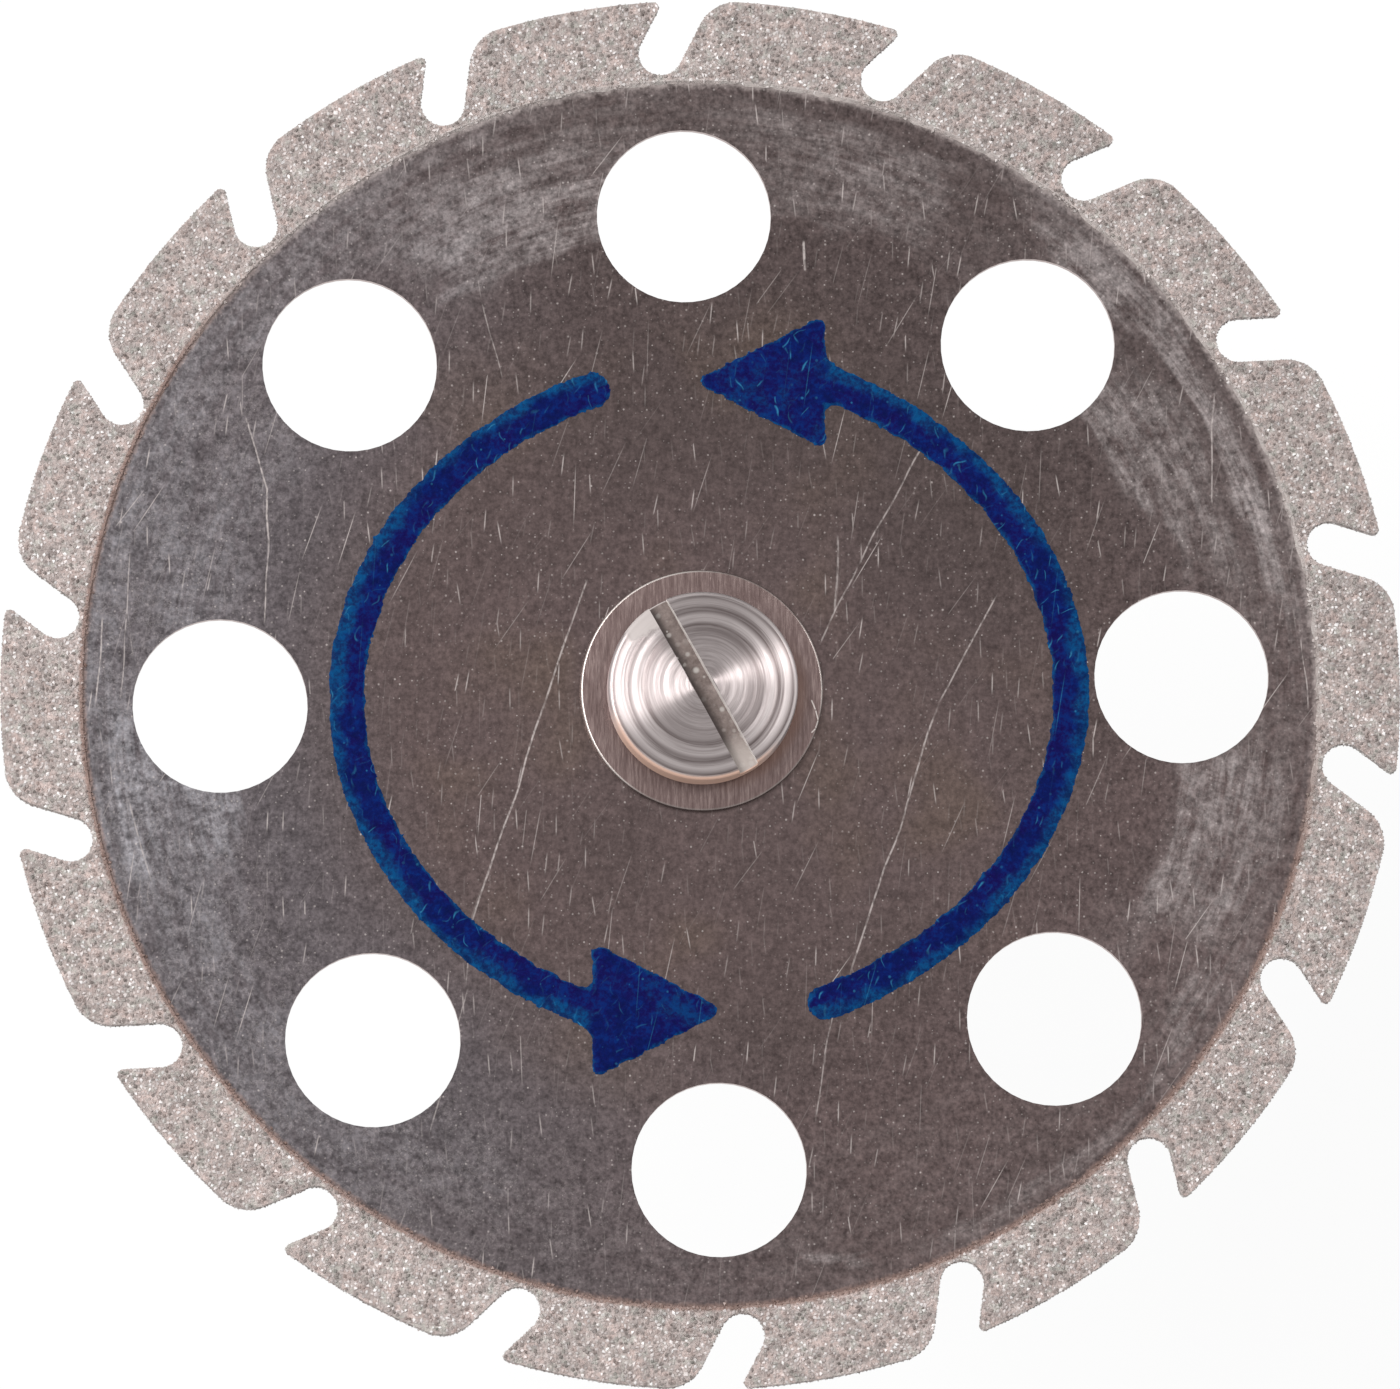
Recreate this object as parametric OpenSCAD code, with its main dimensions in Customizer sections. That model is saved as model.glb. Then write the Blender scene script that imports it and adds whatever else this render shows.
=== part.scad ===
// Diamond-rimmed cutting disc on a screw mandrel.
// +Z is the axis of rotation and points out of the front face; the origin is on that axis,
// where the cylinder of the shank begins at its free end.

/* [Blade] */
// Diameter of the disc over its coating
disc_d = 45; // [40:0.5:50]
// Thickness of the steel blank
blank_t = 0.3; // [0.2:0.05:0.5]

/* [Teeth] */
// Number of slots round the rim
slot_count = 18; // [12:1:20]
// Width of each slot between coated walls
slot_w = 1.45; // [1:0.05:1.8]
// Depth of each slot, from the rim to its round bottom
slot_depth = 2.4; // [1.8:0.1:3]
// Lean of each slot from the radius, clockwise going outward
slot_rake = 30.5; // [15:0.5:35]
// Angle at which the first slot's bottom lies
slot_turn = 13.65; // [0:0.05:20]
// Radius of the corner on the back of each tooth
back_round = 1.3; // [0.5:0.1:1.6]
// Radius of the cutting tip of each tooth
tip_round = 0.16; // [0.05:0.01:0.3]

/* [Coating] */
// Thickness of the plated grit on each covered surface
coat_t = 0.1; // [0.05:0.01:0.15]
// How far the grit runs in past the slot bottoms
coat_past = 0.2; // [0.17:0.01:0.8]

/* [Viewing holes] */
// Number of holes
hole_count = 8; // [5:1:9]
// Diameter of each hole
hole_d = 5.62; // [4:0.02:6.5]
// Width of bare steel between the holes and the coating
hole_margin = 1.615; // [1:0.005:2.5]
// Angle of the first hole
hole_turn = 2.1; // [0:0.1:45]

/* [Screw] */
// Diameter of the screw's shank over its thread
screw_d = 2; // [1.6:0.1:2.6]
// Length of the screw below its head
screw_l = 5; // [3.5:0.1:6]
// Diameter of the screw's head
head_d = 6.1; // [5:0.1:7]
// Height of the screw's head at its axis
head_h = 1.4; // [1.1:0.05:2]
// How much higher the top stands at its axis than at its edge
head_crown = 0.08; // [0.04:0.01:0.2]
// Radius of the head's rounded edge
head_round = 0.4; // [0.1:0.05:0.6]
// Width of the screwdriver slot
drive_w = 0.68; // [0.4:0.02:1]
// Depth of the screwdriver slot
drive_depth = 0.75; // [0.4:0.05:1]
// Angle of the screwdriver slot
drive_turn = -60.95; // [-90:0.05:90]
// Chamfer at the screw's end
screw_chamfer = 0.3; // [0.1:0.05:0.5]

/* [Washer] */
// Diameter of the washer
washer_d = 7.8; // [7.2:0.1:9]
// Thickness of the washer
washer_t = 0.25; // [0.15:0.05:0.5]
// Chamfer on the washer's front edge
washer_chamfer = 0.06; // [0.02:0.01:0.1]

/* [Mandrel] */
// Diameter of the shank
shank_d = 2.35; // [2:0.05:3]
// Length of the shank's cylinder
shank_l = 36; // [20:0.5:44]
// Length of the taper from the shank to the hub
taper_l = 2.4; // [1:0.1:4]
// Diameter of the hub behind the flange
hub_d = 4.6; // [4:0.1:5.5]
// Length of the hub
hub_l = 3.4; // [2:0.1:5]
// Diameter of the flange
flange_d = 7.8; // [6.4:0.1:9]
// Thickness of the flange
flange_t = 0.9; // [0.5:0.1:1.5]
// Chamfer on the flange's back edge
flange_chamfer = 0.3; // [0.1:0.05:0.4]
// Chamfer at the shank's free end
end_chamfer = 0.3; // [0.1:0.05:0.6]

/* [Fits] */
// Gap round the screw in the blade's and the washer's bores
bore_gap = 0.05; // [0.02:0.01:0.1]
// Gap round the screw in the tapped hole
thread_gap = 0.02; // [0.01:0.01:0.05]
// Space left below the screw's end
end_gap = 0.5; // [0.2:0.1:1]

/* [Arrows] */
// Thickness of the ink
ink_t = 0.03; // [0.02:0.01:0.05]
// Width of the arrows' line
line_w = 1.14; // [0.8:0.02:1.4]
// Gap between the line at its widest place and the circle inside the holes
line_gap = 0.445; // [0.2:0.005:1.5]
// Height of the ellipse that each line follows, as a share of its width
curve_ratio = 0.819; // [0.75:0.001:0.9]
// How far the ellipse's centre lies past the middle, on the other arrow's side
curve_shift = 1.85; // [1.2:0.05:2.4]
// How far the ellipse's centre lies toward the arrow's head end
curve_drop = 0.15; // [0:0.05:0.4]
// Angle on the ellipse at which the line starts
start_angle = 114.5; // [105:0.5:130]
// Angle on the ellipse at which the line meets the head
end_angle = 245.5; // [235:0.5:250]
// Length of the arrow head
arrow_l = 4; // [3:0.05:5]
// Width of the arrow head
arrow_w = 4.1; // [3:0.05:5]
// Radius of the head's corners
arrow_round = 0.24; // [0.1:0.02:0.4]
// Offset of the print from the axis, to the right
print_x = 0.25; // [-0.5:0.05:0.5]
// Offset of the print from the axis, upward
print_y = -0.13; // [-0.5:0.01:0.5]

/* [Hidden] */
$fn = 96;

disc_r = disc_d / 2;
bottom_r = disc_r - slot_depth + slot_w / 2;
coat_inner_r = disc_r - slot_depth - coat_past;
hole_circle_r = coat_inner_r - hole_margin - hole_d / 2;
curve_x = hole_circle_r - hole_d / 2 - line_gap - line_w / 2 + curve_shift;
curve_y = curve_x * curve_ratio;
seat_z = shank_l + taper_l + hub_l + flange_t;
face_z = seat_z + blank_t;
head_z = face_z + washer_t;
blade_bore_d = screw_d + 2 * bore_gap;
tapped_d = screw_d + 2 * thread_gap;
tapped_l = screw_l - washer_t - blank_t + end_gap;
drill_l = tapped_d / 4;
crown_r = (pow(head_d / 2, 2) + pow(head_crown, 2)) / (2 * head_crown);
cut = 1;
// Share of a corner's radius by which its arc runs past the lines that it joins
graze = 0.003;
curve_steps = 40;

// Where the centre of a corner's arc stands in the slot's own frame, whose origin is the
// centre of the slot's bottom, with x running out along the slot and the disc's centre at
// [-bx, -by]. side is 1 for the cutting tip and -1 for the tooth's back.
function arc_y(side, r) = side * (slot_w / 2 + (1 - graze) * r);
function arc_x(side, r, bx, by) = sqrt(
    pow(disc_r - (1 - graze) * r, 2) - pow(by + arc_y(side, r), 2)
) - bx;

// What rounds one corner of a tooth, between the slot's wall and the rim.
// inset shrinks the outline, as for the bare blank under the coating.
module corner_cut(side, r, inset) {
    bx = bottom_r * cos(slot_rake);
    by = bottom_r * sin(slot_rake);
    centre = [arc_x(side, r, bx, by), arc_y(side, r)];
    out = (centre + [bx, by]) / norm(centre + [bx, by]);
    across = [0, -side];
    corner = (out + across) * r / (1 + out * across);
    if (r > inset) difference() {
        translate(centre) polygon([
            [0, 0],
            1.4 * r * across,
            1.6 * corner,
            1.4 * r * out
        ]);
        translate(centre) circle(r = r - inset);
    }
}

// One slot with its rounded corners, lying along +X from the disc's centre.
module slot_shape(inset) {
    translate([bottom_r, 0]) rotate(-slot_rake) {
        circle(r = slot_w / 2 + inset);
        translate([0, -slot_w / 2 - inset]) square([slot_depth * 2.5, slot_w + 2 * inset]);
        corner_cut(-1, back_round, inset);
        corner_cut(1, tip_round, inset);
    }
}

// The toothed outline of the disc.
module rim_outline(inset) {
    difference() {
        circle(r = disc_r - inset, $fn = 240);
        for (k = [0 : slot_count - 1])
            rotate(slot_turn + k * 360 / slot_count) slot_shape(inset);
    }
}

// The steel blank: raked teeth, viewing holes and the centre bore.
module blade() {
    color([0.39, 0.35, 0.34])
    translate([0, 0, seat_z]) linear_extrude(blank_t) difference() {
        rim_outline(coat_t);
        for (k = [0 : hole_count - 1])
            rotate(hole_turn + k * 360 / hole_count)
            translate([hole_circle_r, 0]) circle(d = hole_d);
        circle(d = blade_bore_d);
    }
}

// The grit: one skin over both faces of the rim and round every tooth edge.
module diamond_coating() {
    color([0.70, 0.66, 0.64])
    difference() {
        translate([0, 0, seat_z - coat_t]) linear_extrude(blank_t + 2 * coat_t) difference() {
            rim_outline(0);
            circle(r = coat_inner_r, $fn = 240);
        }
        translate([0, 0, seat_z]) linear_extrude(blank_t) rim_outline(coat_t);
    }
}

// A point of the ellipse that an arrow's line follows, offset outward by d.
function curve_point(t, d) =
    let (n = [cos(t) / curve_x, sin(t) / curve_y])
    [curve_shift + curve_x * cos(t), curve_y * sin(t) - curve_drop] + d * n / norm(n);

// One arrow: a curved line with a round start and a head with rounded corners.
module arrow() {
    turn = (end_angle - start_angle) / curve_steps;
    tail = curve_point(end_angle, 0);
    polygon(concat(
        [for (k = [0 : curve_steps]) curve_point(start_angle + k * turn, line_w / 2)],
        [[tail[0] + arrow_l / 3, tail[1]]],
        [for (k = [curve_steps : -1 : 0]) curve_point(start_angle + k * turn, -line_w / 2)]
    ));
    translate(curve_point(start_angle, 0)) circle(d = line_w);
    translate([tail[0], tail[1]]) hull() {
        for (side = [-1, 1])
            translate([arrow_round, side * (arrow_w / 2 - arrow_round)]) circle(r = arrow_round, $fn = 32);
        translate([arrow_l - arrow_round, 0]) circle(r = arrow_round, $fn = 32);
    }
}

// The pair of printed arrows, half a turn apart.
module rotation_arrows() {
    color([0.06, 0.14, 0.40])
    translate([print_x, print_y, face_z]) linear_extrude(ink_t)
    for (turn = [0, 180]) rotate(turn) arrow();
}

// The thin ring under the screw's head.
module clamp_washer() {
    color([0.45, 0.41, 0.40])
    translate([0, 0, face_z]) rotate_extrude() difference() {
        translate([blade_bore_d / 2, 0]) square([(washer_d - blade_bore_d) / 2, washer_t]);
        translate([washer_d / 2, washer_t]) rotate(45)
            square([washer_chamfer * sqrt(2), 4 * washer_chamfer], center = true);
    }
}

// Half of the screw's section: a shank with a chamfered end under a round-edged head.
module screw_profile() {
    polygon([
        [0, -screw_l],
        [screw_d / 2 - screw_chamfer, -screw_l],
        [screw_d / 2, screw_chamfer - screw_l],
        [screw_d / 2, 0],
        [head_d / 2, 0],
        [head_d / 2, head_h - head_crown - head_round],
        [head_d / 2 - head_round, head_h - head_crown - head_round],
        [head_d / 2 - head_round, head_h],
        [0, head_h]
    ]);
    translate([head_d / 2 - head_round, head_h - head_crown - head_round]) circle(r = head_round);
}

// The slotted screw.
module clamp_screw() {
    color([0.86, 0.83, 0.80])
    translate([0, 0, head_z]) difference() {
        intersection() {
            rotate_extrude() screw_profile();
            union() {
                translate([0, 0, head_h - crown_r]) sphere(r = crown_r, $fn = 200);
                translate([0, 0, -screw_l - cut]) cylinder(d = 2 * screw_d, h = screw_l + cut);
            }
        }
        rotate(drive_turn) translate([-head_d, -drive_w / 2, head_h - drive_depth])
            cube([2 * head_d, drive_w, drive_depth + cut]);
    }
}

// The mandrel: shank, taper, hub and flange turned in one piece, with the tapped hole.
module mandrel() {
    hub_z = shank_l + taper_l;
    flange_z = hub_z + hub_l;
    color([0.80, 0.80, 0.81])
    difference() {
        rotate_extrude() polygon([
            [0, -end_chamfer],
            [shank_d / 2 - end_chamfer, -end_chamfer],
            [shank_d / 2, 0],
            [shank_d / 2, shank_l],
            [hub_d / 2, hub_z],
            [hub_d / 2, flange_z],
            [flange_d / 2 - flange_chamfer, flange_z],
            [flange_d / 2, flange_z + flange_chamfer],
            [flange_d / 2, seat_z],
            [0, seat_z]
        ]);
        translate([0, 0, seat_z - tapped_l]) cylinder(d = tapped_d, h = tapped_l + cut);
        translate([0, 0, seat_z - tapped_l - drill_l])
            cylinder(d1 = 0, d2 = tapped_d, h = drill_l);
    }
}

blade();
diamond_coating();
rotation_arrows();
clamp_washer();
clamp_screw();
mandrel();
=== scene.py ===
import math

import bmesh
import bpy
import numpy as np
from mathutils import Matrix, Vector, noise


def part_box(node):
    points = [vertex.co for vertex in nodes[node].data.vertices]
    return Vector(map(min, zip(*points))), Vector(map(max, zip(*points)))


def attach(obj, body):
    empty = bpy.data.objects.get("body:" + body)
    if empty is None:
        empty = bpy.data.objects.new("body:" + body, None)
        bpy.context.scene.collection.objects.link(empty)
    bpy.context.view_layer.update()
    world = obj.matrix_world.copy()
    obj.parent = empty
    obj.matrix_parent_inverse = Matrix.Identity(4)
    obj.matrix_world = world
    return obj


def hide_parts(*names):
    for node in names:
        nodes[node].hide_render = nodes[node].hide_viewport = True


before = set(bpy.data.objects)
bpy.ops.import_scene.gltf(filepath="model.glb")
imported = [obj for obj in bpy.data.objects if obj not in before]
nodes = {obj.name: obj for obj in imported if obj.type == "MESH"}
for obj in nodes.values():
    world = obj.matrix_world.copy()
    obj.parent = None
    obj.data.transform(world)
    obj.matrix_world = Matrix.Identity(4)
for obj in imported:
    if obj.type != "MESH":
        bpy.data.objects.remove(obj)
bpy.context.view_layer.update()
mm = 0.001
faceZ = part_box("blade")[1].z / mm  # the blade's front face, up the axis
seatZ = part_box("blade")[0].z / mm  # its back, which lies on the mandrel's flange
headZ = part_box("clamp_washer")[1].z / mm  # where the screw's head sits
coatRadius = 19.9  # the coating's inner edge
paleSide = (0.4, 0.917, 0)  # the side, at the upper right, where that edge is ragged and has a painted pale highlight
print("frame loaded:", ", ".join(sorted(nodes)))


# Small tools for node trees
def addNode(tree, kind, **settings):
    node = tree.nodes.new(kind)
    for name, value in settings.items():
        setattr(node, name, value)
    return node


def feed(tree, socket, value):
    if isinstance(value, bpy.types.NodeSocket):
        tree.links.new(value, socket)
    else:
        socket.default_value = value


def calc(tree, operation, *values, clamp=False):
    node = addNode(tree, "ShaderNodeMath", operation=operation, use_clamp=clamp)
    for socket, value in zip(node.inputs, values):
        feed(tree, socket, value)
    return node.outputs[0]


def times(tree, *values, clamp=False):
    product = values[0]
    for value in values[1:]:
        product = calc(tree, "MULTIPLY", product, value, clamp=clamp)
    return product


def plus(tree, *values, clamp=False):
    total = values[0]
    for value in values[1:]:
        total = calc(tree, "ADD", total, value, clamp=clamp)
    return total


def vecCalc(tree, operation, *values):
    node = addNode(tree, "ShaderNodeVectorMath", operation=operation)
    sockets = (node.inputs[0], node.inputs[3]) if operation == "SCALE" else node.inputs
    for socket, value in zip(sockets, values):
        feed(tree, socket, value)
    return node.outputs[1 if operation in ("LENGTH", "DISTANCE", "DOT_PRODUCT") else 0]


def dot(tree, first, second):
    return vecCalc(tree, "DOT_PRODUCT", first, second)


def remap(tree, value, low, high, start=0.0, stop=1.0, smooth=True):
    way = "SMOOTHSTEP" if smooth else "LINEAR"
    node = addNode(tree, "ShaderNodeMapRange", interpolation_type=way)
    for socket, item in zip(node.inputs, (value, low, high, start, stop)):
        feed(tree, socket, item)
    return node.outputs[0]


def blendColour(tree, factor, first, second, mode="MIX"):
    node = addNode(tree, "ShaderNodeMix", data_type="RGBA", blend_type=mode)
    for socket, item in zip((node.inputs[0], node.inputs[6], node.inputs[7]), (factor, first, second)):
        feed(tree, socket, item)
    return node.outputs[2]


def shaded(tree, colour, shade):  # a colour made lighter or darker
    return blendColour(tree, 1.0, colour, joinXYZ(tree, shade, shade, shade), "MULTIPLY")


def ramp(tree, value, stops):
    node = addNode(tree, "ShaderNodeValToRGB")
    feed(tree, node.inputs[0], value)
    marks = node.color_ramp.elements
    for mark, (place, colour) in zip(marks, (stops[0], stops[-1])):
        mark.position, mark.color = place, colour
    for place, colour in stops[1:-1]:
        marks.new(place).color = colour
    return node.outputs[0]


def noiseAt(tree, point, scale, detail=2.0, rough=0.5):
    node = addNode(tree, "ShaderNodeTexNoise")
    for name, item in (("Vector", point), ("Scale", scale), ("Detail", detail), ("Roughness", rough)):
        feed(tree, node.inputs[name], item)
    return node.outputs["Fac"]


def joinXYZ(tree, x=0.0, y=0.0, z=0.0):
    node = addNode(tree, "ShaderNodeCombineXYZ")
    for socket, item in zip(node.inputs, (x, y, z)):
        feed(tree, socket, item)
    return node.outputs[0]


def splitXYZ(tree, vector):
    node = addNode(tree, "ShaderNodeSeparateXYZ")
    feed(tree, node.inputs[0], vector)
    return node.outputs


def tint(red, green, blue):  # a colour as seen on a screen, 0 to 255
    return tuple(((c / 255 + 0.055) / 1.055) ** 2.4 for c in (red, green, blue)) + (1.0,)


def newGroup(name, takes, gives):
    group = bpy.data.node_groups.new(name, "ShaderNodeTree")
    for label, kind, value in takes:
        kind = "NodeSocket" + kind
        socket = group.interface.new_socket(name=label, in_out="INPUT", socket_type=kind)
        socket.default_value = value
    for label, kind in gives:
        kind = "NodeSocket" + kind
        group.interface.new_socket(name=label, in_out="OUTPUT", socket_type=kind)
    entry = addNode(group, "NodeGroupInput").outputs
    leave = addNode(group, "NodeGroupOutput").inputs
    return group, entry, leave


def useGroup(tree, group, **values):
    node = addNode(tree, "ShaderNodeGroup", node_tree=group)
    for name, item in values.items():
        feed(tree, node.inputs[name], item)
    return node.outputs


def newFinish(name, metallic, roughness, **others):
    finish = bpy.data.materials.new(name)
    finish.use_nodes = True
    tree = finish.node_tree
    shader = tree.nodes["Principled BSDF"].inputs
    shader["Metallic"].default_value = metallic
    shader["Roughness"].default_value = roughness
    for label, value in others.items():
        shader[label.replace("_", " ")].default_value = value
    place = addNode(tree, "ShaderNodeTexCoord").outputs["Object"]
    return finish, tree, shader, vecCalc(tree, "SCALE", place, 1 / mm)


def addBump(tree, shader, height, depth):  # depth in mm
    bump = addNode(tree, "ShaderNodeBump")
    feed(tree, bump.inputs["Height"], height)
    bump.inputs["Distance"].default_value = depth * mm
    bump.inputs["Strength"].default_value = 1.0
    tree.links.new(bump.outputs[0], shader["Normal"])


# Shared surface effects, all in millimetres
def buildPolarPlace():  # radius, direction from the axis, and a point for streaks that run round it
    group, entry, leave = newGroup(
        "polarPlace",
        [("Point", "Vector", (0, 0, 0)), ("Around", "Float", 4.0), ("Across", "Float", 2.0)],
        [("Radius", "Float"), ("Direction", "Vector"), ("Strip", "Vector")],
    )
    flat = vecCalc(group, "MULTIPLY", entry["Point"], (1, 1, 0))
    radius = vecCalc(group, "LENGTH", flat)
    direction = vecCalc(group, "NORMALIZE", flat)
    lift = joinXYZ(group, z=times(group, radius, entry["Across"]))
    feed(group, leave["Radius"], radius)
    feed(group, leave["Direction"], direction)
    circle = vecCalc(group, "SCALE", direction, entry["Around"])
    feed(group, leave["Strip"], vecCalc(group, "ADD", circle, lift))
    return group


def buildSurfaceGrain():  # fine mottling about 0.5
    fineShare = 0.62
    group, entry, leave = newGroup(
        "surfaceGrain", [("Point", "Vector", (0, 0, 0)), ("Size", "Float", 0.1)], [("Grain", "Float")]
    )
    near = vecCalc(group, "SCALE", entry["Point"], calc(group, "DIVIDE", 1.0, entry["Size"]))
    fine = noiseAt(group, near, 1.0, 3.0, 0.65)
    broad = noiseAt(group, vecCalc(group, "ADD", near, (17, 5, 9)), 0.31, 2.0, 0.55)
    total = plus(group, times(group, fine, fineShare), times(group, broad, 1.0 - fineShare))
    feed(group, leave["Grain"], remap(group, total, 0.3, 0.7, smooth=False))
    return group


def buildFineScratches():  # one short tapered line, or dot, in a share of the cells of a stretched pattern
    group, entry, leave = newGroup(
        "fineScratches",
        [
            ("Point", "Vector", (0, 0, 0)),
            ("Turn", "Float", 0.0),
            ("Spacing", "Float", 0.5),
            ("Length", "Float", 3.0),
            ("Width", "Float", 0.03),
            ("Share", "Float", 0.3),
            ("Slant", "Float", 0.2),
            ("Shift", "Float", 0.0),
        ],
        [("Mask", "Float")],
    )
    turned = addNode(group, "ShaderNodeVectorRotate", rotation_type="Z_AXIS")
    feed(group, turned.inputs["Vector"], entry["Point"])
    feed(group, turned.inputs["Angle"], entry["Turn"])
    place = splitXYZ(group, turned.outputs[0])
    across = plus(group, calc(group, "DIVIDE", place[0], entry["Spacing"]), entry["Shift"])
    along = calc(group, "DIVIDE", place[1], entry["Length"])
    cells = addNode(group, "ShaderNodeTexVoronoi", voronoi_dimensions="2D")
    spot = joinXYZ(group, across, along)
    feed(group, cells.inputs["Vector"], spot)
    cells.inputs["Scale"].default_value = 1.0
    offset = splitXYZ(group, vecCalc(group, "SUBTRACT", spot, cells.outputs["Position"]))
    chance, lean, tone = splitXYZ(group, cells.outputs["Color"])
    slope = times(group, calc(group, "SUBTRACT", lean, 0.5), entry["Slant"])
    reach = times(group, offset[1], entry["Length"], slope)
    gap = calc(group, "ABSOLUTE", plus(group, times(group, offset[0], entry["Spacing"]), reach))
    line = remap(group, gap, entry["Width"], 0.0)
    taper = remap(group, calc(group, "ABSOLUTE", offset[1]), 0.42, 0.12)
    kept = calc(group, "LESS_THAN", chance, entry["Share"])
    bright = plus(group, 0.1, times(group, calc(group, "POWER", tone, 3.5), 0.9))
    feed(group, leave["Mask"], times(group, line, taper, kept, bright))
    return group


def buildWaver():  # a point pushed aside a little, so that lines drawn on it waver
    group, entry, leave = newGroup(
        "waver",
        [("Point", "Vector", (0, 0, 0)), ("Scale", "Float", 0.8), ("Amount", "Float", 0.3)],
        [("Moved", "Vector")],
    )
    shake = addNode(group, "ShaderNodeTexNoise")
    feed(group, shake.inputs["Vector"], entry["Point"])
    feed(group, shake.inputs["Scale"], entry["Scale"])
    shake.inputs["Detail"].default_value = 0.0
    drift = vecCalc(group, "SUBTRACT", shake.outputs["Color"], (0.5, 0.5, 0.5))
    push = vecCalc(group, "SCALE", drift, entry["Amount"])
    feed(group, leave["Moved"], vecCalc(group, "ADD", entry["Point"], push))
    return group


def buildDustDots():  # round specks in a share of the cells of a plain pattern
    group, entry, leave = newGroup(
        "dustDots",
        [
            ("Point", "Vector", (0, 0, 0)),
            ("Spacing", "Float", 0.5),
            ("Size", "Float", 0.05),
            ("Share", "Float", 0.2),
        ],
        [("Mask", "Float")],
    )
    cells = addNode(group, "ShaderNodeTexVoronoi", voronoi_dimensions="2D")
    feed(group, cells.inputs["Vector"], entry["Point"])
    feed(group, cells.inputs["Scale"], calc(group, "DIVIDE", 1.0, entry["Spacing"]))
    chance, big, tone = splitXYZ(group, cells.outputs["Color"])
    gap = times(group, cells.outputs["Distance"], entry["Spacing"])
    reach = times(group, entry["Size"], plus(group, 0.4, big))
    speck = remap(group, gap, reach, times(group, reach, 0.3))
    bright = plus(group, 0.15, times(group, calc(group, "POWER", tone, 2.0), 0.85))
    kept = calc(group, "LESS_THAN", chance, entry["Share"])
    feed(group, leave["Mask"], times(group, speck, kept, bright))
    return group


polarPlace = buildPolarPlace()
surfaceGrain = buildSurfaceGrain()
fineScratches = buildFineScratches()
waver = buildWaver()
dustDots = buildDustDots()


# Marks drawn three at a time: x, y and z of each vector belong to three different marks
def mapThree(tree, value, low, high, start, stop):
    node = addNode(tree, "ShaderNodeMapRange", data_type="FLOAT_VECTOR",
                   interpolation_type="SMOOTHSTEP")
    for socket, item in zip(node.inputs[6:], (value, low, high, start, stop)):
        feed(tree, socket, item)
    return node.outputs[1]


def drawScratches(tree, point, scratches):  # straight lines, each (from, to, width, strength), in mm
    x, y = splitXYZ(tree, point)[:2]
    everyX, everyY = joinXYZ(tree, x, x, x), joinXYZ(tree, y, y, y)
    blank = ((50, 0), (51, 0), 0.01, 0.0)  # fills up the last three, off the disc
    total = 0.0
    for k in range(0, len(scratches), 3):
        batch = (scratches[k:k + 3] + [blank] * 2)[:3]
        alongX, alongY, alongStart, acrossX, acrossY, acrossStart, strengths = [], [], [], [], [], [], []
        for start, stop, width, strength in batch:
            middle, half = (Vector(start) + Vector(stop)) / 2, (Vector(stop) - Vector(start)) / 2
            way = half.normalized()
            alongX.append(way.x / half.length)
            alongY.append(way.y / half.length)
            alongStart.append(-middle.dot(way) / half.length)
            acrossX.append(-way.y / width)
            acrossY.append(way.x / width)
            acrossStart.append((middle.x * way.y - middle.y * way.x) / width)
            strengths.append(strength)
        along = vecCalc(tree, "MULTIPLY_ADD", everyX, alongX, alongStart)
        along = vecCalc(tree, "ABSOLUTE", vecCalc(tree, "MULTIPLY_ADD", everyY, alongY, along))
        across = vecCalc(tree, "MULTIPLY_ADD", everyX, acrossX, acrossStart)
        across = vecCalc(tree, "ABSOLUTE", vecCalc(tree, "MULTIPLY_ADD", everyY, acrossY, across))
        ends = mapThree(tree, along, (1, 1, 1), (0.76, 0.76, 0.76), (0, 0, 0), strengths)
        lines = mapThree(tree, across, (1, 1, 1), (0.25, 0.25, 0.25), (0, 0, 0), (1, 1, 1))
        total = plus(tree, total, dot(tree, ends, lines))
    return total


def drawSmears(tree, direction, radius, smears):  # each (direction, half width, radii, strength)
    x, y = splitXYZ(tree, direction)[:2]
    everyX, everyY = joinXYZ(tree, x, x, x), joinXYZ(tree, y, y, y)
    everyR = joinXYZ(tree, radius, radius, radius)
    blank = (0, 1, 0, 1, 0.0)
    total = 0.0
    for k in range(0, len(smears), 3):
        batch = (smears[k:k + 3] + [blank] * 2)[:3]
        turns, spreads, inner, outer, strengths = (list(values) for values in zip(*batch))
        turns, spreads = np.radians(turns), np.radians(spreads)
        toward = vecCalc(tree, "MULTIPLY", everyX, np.cos(turns))
        toward = vecCalc(tree, "MULTIPLY_ADD", everyY, np.sin(turns), toward)
        edges = np.cos(spreads)
        spot = mapThree(tree, toward, edges, 0.25 * edges + 0.75, (0, 0, 0), strengths)
        middles = (np.array(inner) + np.array(outer)) / 2
        halves = (np.array(outer) - np.array(inner)) / 2
        offset = vecCalc(tree, "ABSOLUTE", vecCalc(tree, "SUBTRACT", everyR, middles))
        band = mapThree(tree, offset, halves + 0.25, halves - 0.2, (0, 0, 0), (1, 1, 1))
        total = plus(tree, total, dot(tree, spot, band))
    return total


# Helpers for shapes; outlines are (radius, height) in mm, corners (radius, height, rounding)
def softOutline(corners, steps=4):
    outline = []
    for k, (r, z, rounding) in enumerate(corners):
        here = Vector((r, z))
        if not rounding:
            outline.append(here)
            continue
        before = (Vector(corners[k - 1][:2]) - here).normalized()
        after = (Vector(corners[(k + 1) % len(corners)][:2]) - here).normalized()
        half = before.angle(after) / 2
        middle = here + (before + after).normalized() * rounding / math.sin(half)
        first = here + before * rounding / math.tan(half) - middle
        last = here + after * rounding / math.tan(half) - middle
        for j in range(steps + 1):
            outline.append(middle + first.lerp(last, j / steps).normalized() * rounding)
    return outline


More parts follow.
